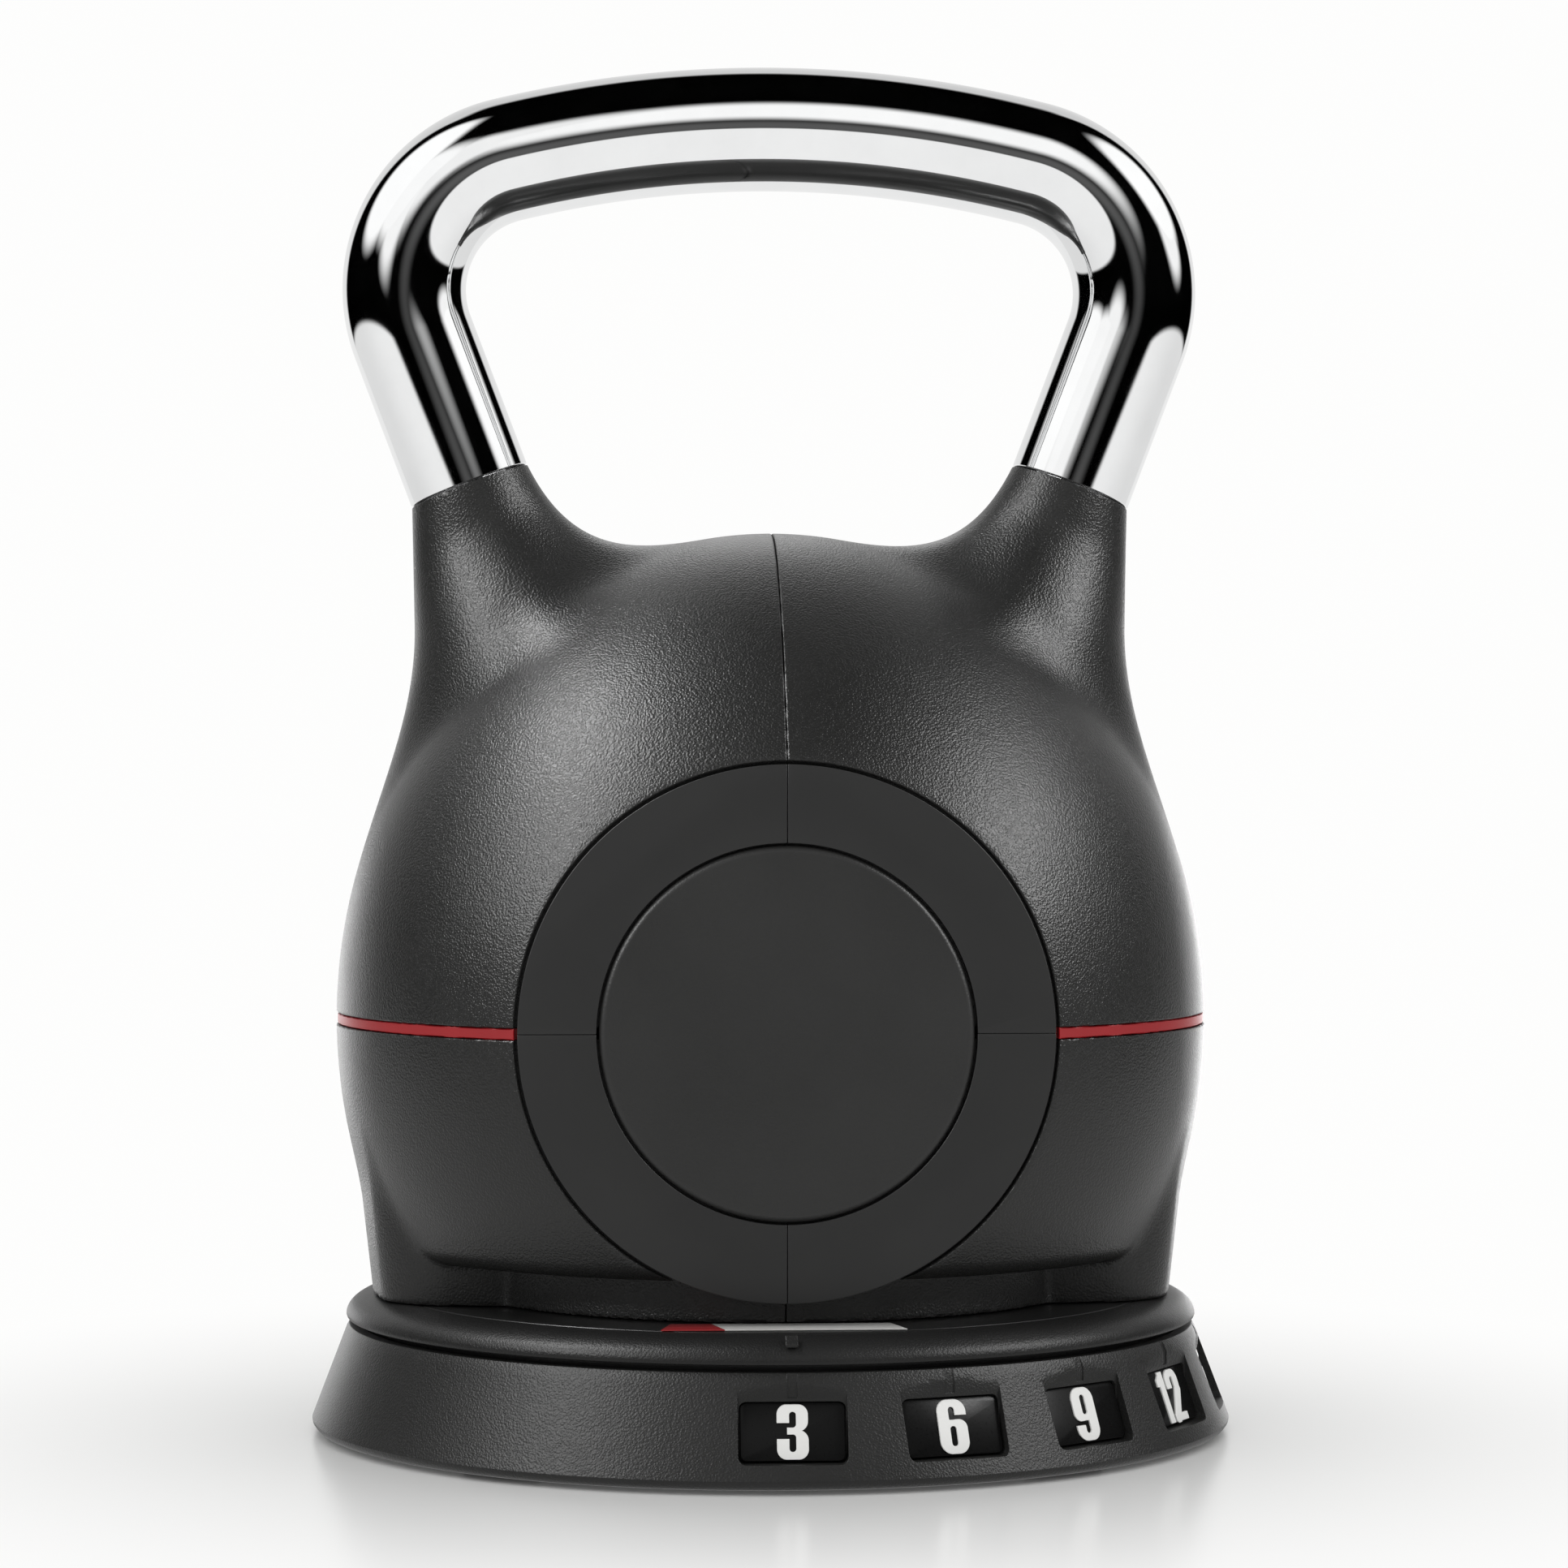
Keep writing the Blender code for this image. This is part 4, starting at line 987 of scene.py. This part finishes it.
def new_material(name):
    material = bpy.data.materials.new(name)
    material.use_nodes = True
    nodes = Nodes(material.node_tree)
    shader = nodes.add("BsdfPrincipled")
    output = nodes.add("OutputMaterial")
    nodes.link(shader.outputs[0], output.inputs[0])
    place_at = nodes.add("TexCoord").outputs["Object"]
    return material, nodes, shader, place_at


def bump(nodes, shader, height, distance, edge=0.0):
    """Relief of this distance in millimetres, over edges rounded by this radius."""
    node = nodes.add("Bump")
    nodes.link(1.0, node.inputs["Strength"])
    nodes.link(distance * MM, node.inputs["Distance"])
    nodes.link(height, node.inputs["Height"])
    if edge:
        soft = nodes.add("Bevel", samples=4)
        nodes.link(edge * MM, soft.inputs["Radius"])
        nodes.link(soft.outputs[0], node.inputs["Normal"])
    nodes.link(node.outputs[0], shader.inputs["Normal"])


def leather(name, dark, light, rough, grain, depth, edge=0.0, sheen=0.3):
    """Moulded plastic with a leather grain of small rounded pebbles."""
    material, nodes, shader, at = new_material(name)
    shader.inputs["Specular IOR Level"].default_value = sheen
    pebble = nodes.range(nodes.cells(at, grain), 0.1, 0.7, 1.0, 0.0)
    fine = nodes.noise(at, grain * 0.6, 2.0)
    patch = nodes.noise(at, 38.0, 3.0)
    nodes.link(nodes.patchy(patch, dark, light), shader.inputs["Base Color"])
    gloss = nodes.math("ADD", nodes.range(patch, 0.3, 0.7, rough - 0.02, rough + 0.02, "LINEAR"),
                       nodes.math("MULTIPLY", nodes.math("SUBTRACT", fine, 0.5), 0.08))
    nodes.link(gloss, shader.inputs["Roughness"])
    bump(nodes, shader, nodes.math("ADD", pebble, fine), depth, edge)
    return material


def satin(name, dark, light, rough, size, depth, sheen=0.3):
    """Smooth moulded or painted surface with a faint texture."""
    material, nodes, shader, at = new_material(name)
    shader.inputs["Specular IOR Level"].default_value = sheen
    nodes.link(nodes.patchy(nodes.noise(at, 30.0, 3.0), dark, light), shader.inputs["Base Color"])
    fine = nodes.noise(at, size, 4.0, 0.6)
    gloss = nodes.range(fine, 0.25, 0.75, rough - 0.05, rough + 0.05, "LINEAR")
    nodes.link(gloss, shader.inputs["Roughness"])
    bump(nodes, shader, fine, depth)
    return material


def metal(name, dark, light, rough, stretch, size, depth, marks):
    """Bare or plated metal with tool marks drawn out along an axis."""
    material, nodes, shader, at = new_material(name)
    shader.inputs["Metallic"].default_value = 1.0
    pulled = nodes.add("Mapping")
    nodes.link(at, pulled.inputs["Vector"])
    nodes.link(stretch, pulled.inputs["Scale"])
    lines = nodes.noise(pulled.outputs[0], size, 5.0, 0.6)
    patch = nodes.noise(at, 25.0, 3.0)
    mixed = nodes.math("ADD", nodes.math("MULTIPLY", lines, 0.5), nodes.math("MULTIPLY", patch, 0.5))
    nodes.link(nodes.patchy(mixed, dark, light), shader.inputs["Base Color"])
    nodes.link(nodes.range(lines, 0.3, 0.7, rough, rough + marks, "LINEAR"), shader.inputs["Roughness"])
    bump(nodes, shader, lines, depth)
    return material


def label_material():
    """White print with a red field at its left end."""
    material, nodes, shader, at = new_material("label_white")
    split = nodes.add("SeparateXYZ")
    nodes.link(at, split.inputs[0])
    slanted = nodes.math("MULTIPLY_ADD", split.outputs["Y"], 0.25, split.outputs["X"])
    red_end = -36.5 * MM
    red = nodes.range(slanted, red_end, red_end + 0.2 * MM, 1.0, 0.0, "LINEAR")
    grain = nodes.noise(at, 0.25)
    paper = nodes.blend_colors(grain, rgba(0.62, 0.62, 0.60), rgba(0.72, 0.72, 0.70))
    nodes.link(nodes.blend_colors(red, paper, rgba(0.36, 0.012, 0.016)), shader.inputs["Base Color"])
    nodes.link(nodes.range(grain, 0.3, 0.7, 0.36, 0.44, "LINEAR"), shader.inputs["Roughness"])
    bump(nodes, shader, grain, 0.01)
    return material


# Name: dark and light colour, roughness, size of the grain or texture and its relief in millimetres;
# then for leather the radius its edges are softened by, and for both the specular level.
LEATHERS = {
    "shell_black": ((0.0145, 0.0145, 0.014), (0.0175, 0.0175, 0.017), 0.34, 0.5, 0.065),
    "cap_black": ((0.021, 0.021, 0.0205), (0.025, 0.025, 0.0245), 0.44, 0.5, 0.02),
    "dock_black": ((0.0155, 0.0155, 0.015), (0.019, 0.019, 0.0185), 0.42, 0.48, 0.045, 0.25, 0.22),
    "rim_black": ((0.013, 0.013, 0.0127), (0.016, 0.016, 0.0157), 0.42, 0.48, 0.035, 0.0, 0.19),
}
SATINS = {
    "ring_black": ((0.018, 0.018, 0.018), (0.021, 0.021, 0.0205), 0.46, 0.3, 0.006),
    "trim_red": ((0.30, 0.008, 0.012), (0.35, 0.011, 0.015), 0.42, 0.4, 0.008),
    "deck_black": ((0.011, 0.011, 0.011), (0.014, 0.014, 0.014), 0.34, 0.4, 0.01),
    "tile_black": ((0.005, 0.005, 0.005), (0.007, 0.007, 0.007), 0.30, 0.6, 0.006, 0.1),
    "numeral_white": ((0.80, 0.80, 0.785), (0.86, 0.86, 0.845), 0.45, 0.3, 0.008),
    "plate_steel": ((0.035, 0.035, 0.038), (0.055, 0.055, 0.058), 0.48, 0.7, 0.03),
    "frame_iron": ((0.11, 0.11, 0.115), (0.17, 0.17, 0.175), 0.62, 1.1, 0.12),
    "bearing_plastic": ((0.64, 0.63, 0.57), (0.72, 0.71, 0.66), 0.38, 0.5, 0.01),
    "rubber": ((0.012, 0.012, 0.012), (0.020, 0.020, 0.020), 0.78, 0.35, 0.03),
}
# Name: dark and light colour, roughness, stretch of the marks, their size and relief in
# millimetres, and how much rougher they are.
METALS = {
    "chrome": ((0.86, 0.865, 0.87), (0.92, 0.925, 0.93), 0.035, (1, 1, 1), 9.0, 0.0, 0.02),
    "steel": ((0.50, 0.50, 0.51), (0.62, 0.62, 0.63), 0.24, (1, 1, 8), 0.5, 0.004, 0.14),
}


def make_materials():
    made = {"label_white": label_material()}
    for make, table in ((leather, LEATHERS), (satin, SATINS), (metal, METALS)):
        for name, values in table.items():
            made[name] = make(name, *values)
    return made


def dress_cad_nodes():
    """Give every CAD node that stays in sight its slot's finish."""
    slots = {part["node"]: part["material_slot"] for part in frame["record"]["subparts"]}
    for name, obj in frame["nodes"].items():
        obj.data.materials.clear()
        obj.data.materials.append(MATERIALS[slots[name]])


# ----------------------------------------------------- floor, light and camera

BACKDROP = 0.985              # the white behind the object, as the camera sees it
AMBIENT = 0.95                # the even light on dull surfaces
FLOOR_FADE = (0.09, 0.30)     # metres from the axis between which the floor turns into the backdrop


def make_floor():
    """A pale floor that fades into the white of the studio with distance."""
    radii = (0.0, 400.0, 1200.0, 3000.0, 6000.0)
    floor = turned("floor", [(radius, 0.0) for radius in radii], sides=96, ring=False)
    floor.data.transform(Matrix.Translation((0, 0, -0.02 * MM)))
    material = bpy.data.materials.new("floor")
    material.use_nodes = True
    nodes = Nodes(material.node_tree)
    at = nodes.add("TexCoord").outputs["Object"]
    away = nodes.add("VectorMath", operation="LENGTH")
    nodes.link(at, away.inputs[0])
    shader = nodes.add("BsdfPrincipled")
    tone = nodes.blend_colors(nodes.noise(at, 60.0), rgba(0.95, 0.95, 0.945), rgba(0.97, 0.97, 0.965))
    nodes.link(tone, shader.inputs["Base Color"])
    shader.inputs["Roughness"].default_value = 0.22
    shader.inputs["Specular IOR Level"].default_value = 0.35
    glow = nodes.add("Emission")
    nodes.link(rgba(1.0, 1.0, 0.995), glow.inputs["Color"])
    nodes.link(BACKDROP, glow.inputs["Strength"])
    mix = nodes.add("MixShader")
    nodes.link(nodes.range(away.outputs["Value"], *FLOOR_FADE), mix.inputs[0])
    nodes.link(shader.outputs[0], mix.inputs[1])
    nodes.link(glow.outputs[0], mix.inputs[2])
    nodes.link(mix.outputs[0], nodes.add("OutputMaterial").inputs[0])
    floor.data.materials.append(material)
    floor.visible_glossy = False


# What polished surfaces see in front: ovals at an azimuth (0 in front, minus on the left) and an
# elevation, with half a width and half a height, all in degrees, then their softness and strength.
CARDS = (
    (-78, 45, 36, 27, 0.16, 1.1),
    (-42, 32, 28, 15, 0.28, 1.05),
    (-34, 22, 16, 14, 0.35, 1.0),
    (8, 27, 19, 15, 0.38, 1.05),
    (-15, 28, 22, 14, 0.35, 0.95),
    (86, 38, 30, 20, 0.20, 1.1),
    (82, 24, 18, 15, 0.30, 1.0),
    (2, 0, 9, 7, 0.8, 0.10),
)


def make_world():
    """A studio that is white to the camera and even to dull surfaces. Polished ones see it dark,
    with pale cards in front, a pale wall behind and the pale ground."""
    world = bpy.data.worlds.new("studio")
    bpy.context.scene.world = world
    world.use_nodes = True
    nodes = Nodes(world.node_tree)
    split = nodes.add("SeparateXYZ")
    nodes.link(nodes.add("TexCoord").outputs["Generated"], split.inputs[0])
    x, y, z = split.outputs
    ahead = nodes.math("MULTIPLY", y, -1.0)
    azimuth = nodes.math("DEGREES", nodes.math("ARCTAN2", x, ahead))
    away = nodes.math("ABSOLUTE", azimuth)
    elevation = nodes.math("DEGREES", nodes.math("ARCSINE", z))

    def card(middle_azimuth, middle_elevation, wide, high, soft, strength):
        across = nodes.math("DIVIDE", nodes.math("SUBTRACT", azimuth, middle_azimuth), wide)
        up = nodes.math("DIVIDE", nodes.math("SUBTRACT", elevation, middle_elevation), high)
        squares = [nodes.math("MULTIPLY", value, value) for value in (across, up)]
        distance = nodes.math("SQRT", nodes.math("ADD", *squares))
        return nodes.range(distance, 1.0 - soft, 1.0 + soft, strength, 0.0)

    def shown_to(rays, given, otherwise):
        """One strength for this kind of ray, and another for the rest."""
        change = nodes.math("SUBTRACT", given, otherwise)
        return nodes.math("ADD", nodes.math("MULTIPLY", path.outputs[rays], change), otherwise)

    wall = nodes.math("MULTIPLY", nodes.range(away, 131, 139), nodes.range(elevation, 56, 64, 1.0, 0.0))
    wall = nodes.math("MULTIPLY", wall, nodes.range(elevation, 0, 50, 0.88, 0.66, "LINEAR"))
    ground = nodes.math("MULTIPLY", nodes.range(elevation, -7.0, -4.5, 1.0, 0.0),
                        nodes.range(away, 40, 110, 0.93, 0.78))
    polished = nodes.math("MAXIMUM", wall, ground)
    for values in CARDS:
        polished = nodes.math("MAXIMUM", polished, card(*values))
    path = nodes.add("LightPath")
    shown = shown_to("Is Glossy Ray", polished, AMBIENT)
    shown = shown_to("Is Camera Ray", BACKDROP, shown)
    background = nodes.add("Background")
    nodes.link(rgba(1.0, 1.0, 0.995), background.inputs["Color"])
    nodes.link(shown, background.inputs["Strength"])
    nodes.link(background.outputs[0], nodes.add("OutputWorld").inputs[0])


# Name: direction from the ball, diameter in metres, power in watts.
LAMPS = {
    "softbox_left": ((-0.58, -0.03, 0.81), 0.38, 17.0),
    "softbox_right": ((0.75, -0.18, 0.63), 0.42, 10.0),
    "softbox_low_left": ((-0.74, -0.44, 0.46), 0.18, 12.5),
    "softbox_low_right": ((0.76, -0.42, 0.42), 0.18, 7.0),
    "softbox_edge_left": ((-0.42, 0.91, -0.03), 0.36, 0.9),
    "softbox_edge_right": ((0.42, 0.91, -0.03), 0.36, 1.5),
    "softbox_top": ((0.0, 0.77, 0.64), 0.50, 1.3),
}
LAMP_DISTANCE = 1.3     # metres


def make_lamps():
    """Round lamps that look at the ball and add highlights to all but the chrome and the floor."""
    matt = bpy.data.collections.new("matt")
    for obj in bpy.context.scene.objects:
        if obj.type == "MESH" and obj.name not in ("floor", "handle_look"):
            matt.objects.link(obj)
    for name, (direction, size, power) in LAMPS.items():
        lamp = bpy.data.lights.new(name, "AREA")
        lamp.shape = "DISK"
        lamp.size = size
        lamp.energy = power
        obj = new_object(name, lamp)
        way = Vector(direction).normalized()
        obj.location = Vector((0, 0, BALL_Z * MM)) + way * LAMP_DISTANCE
        obj.rotation_euler = way.to_track_quat("Z", "Y").to_euler()
        obj.light_linking.receiver_collection = matt
        obj.visible_diffuse = False


def make_camera():
    """The photo's view: from a little to the left of the front, level, and near."""
    turn, pan = math.radians(2.65), math.radians(0.175)
    distance, height = 1.080, 0.1574
    camera = bpy.data.cameras.new("camera")
    camera.lens = 100.62
    camera.sensor_width = 36.0
    camera.clip_start = 0.05
    obj = new_object("camera", camera)
    obj.location = (-distance * math.sin(turn), -distance * math.cos(turn), height)
    obj.rotation_euler = (math.pi / 2, 0.0, -turn - pan)
    bpy.context.scene.camera = obj


def main():
    dress_cad_nodes()
    make_camera()
    make_body()
    make_faces()
    make_handle()
    make_turntable()
    make_housing()
    make_spring()
    make_floor()
    make_world()
    make_lamps()
    bpy.context.scene.view_settings.view_transform = "Standard"


MATERIALS = make_materials()
main()
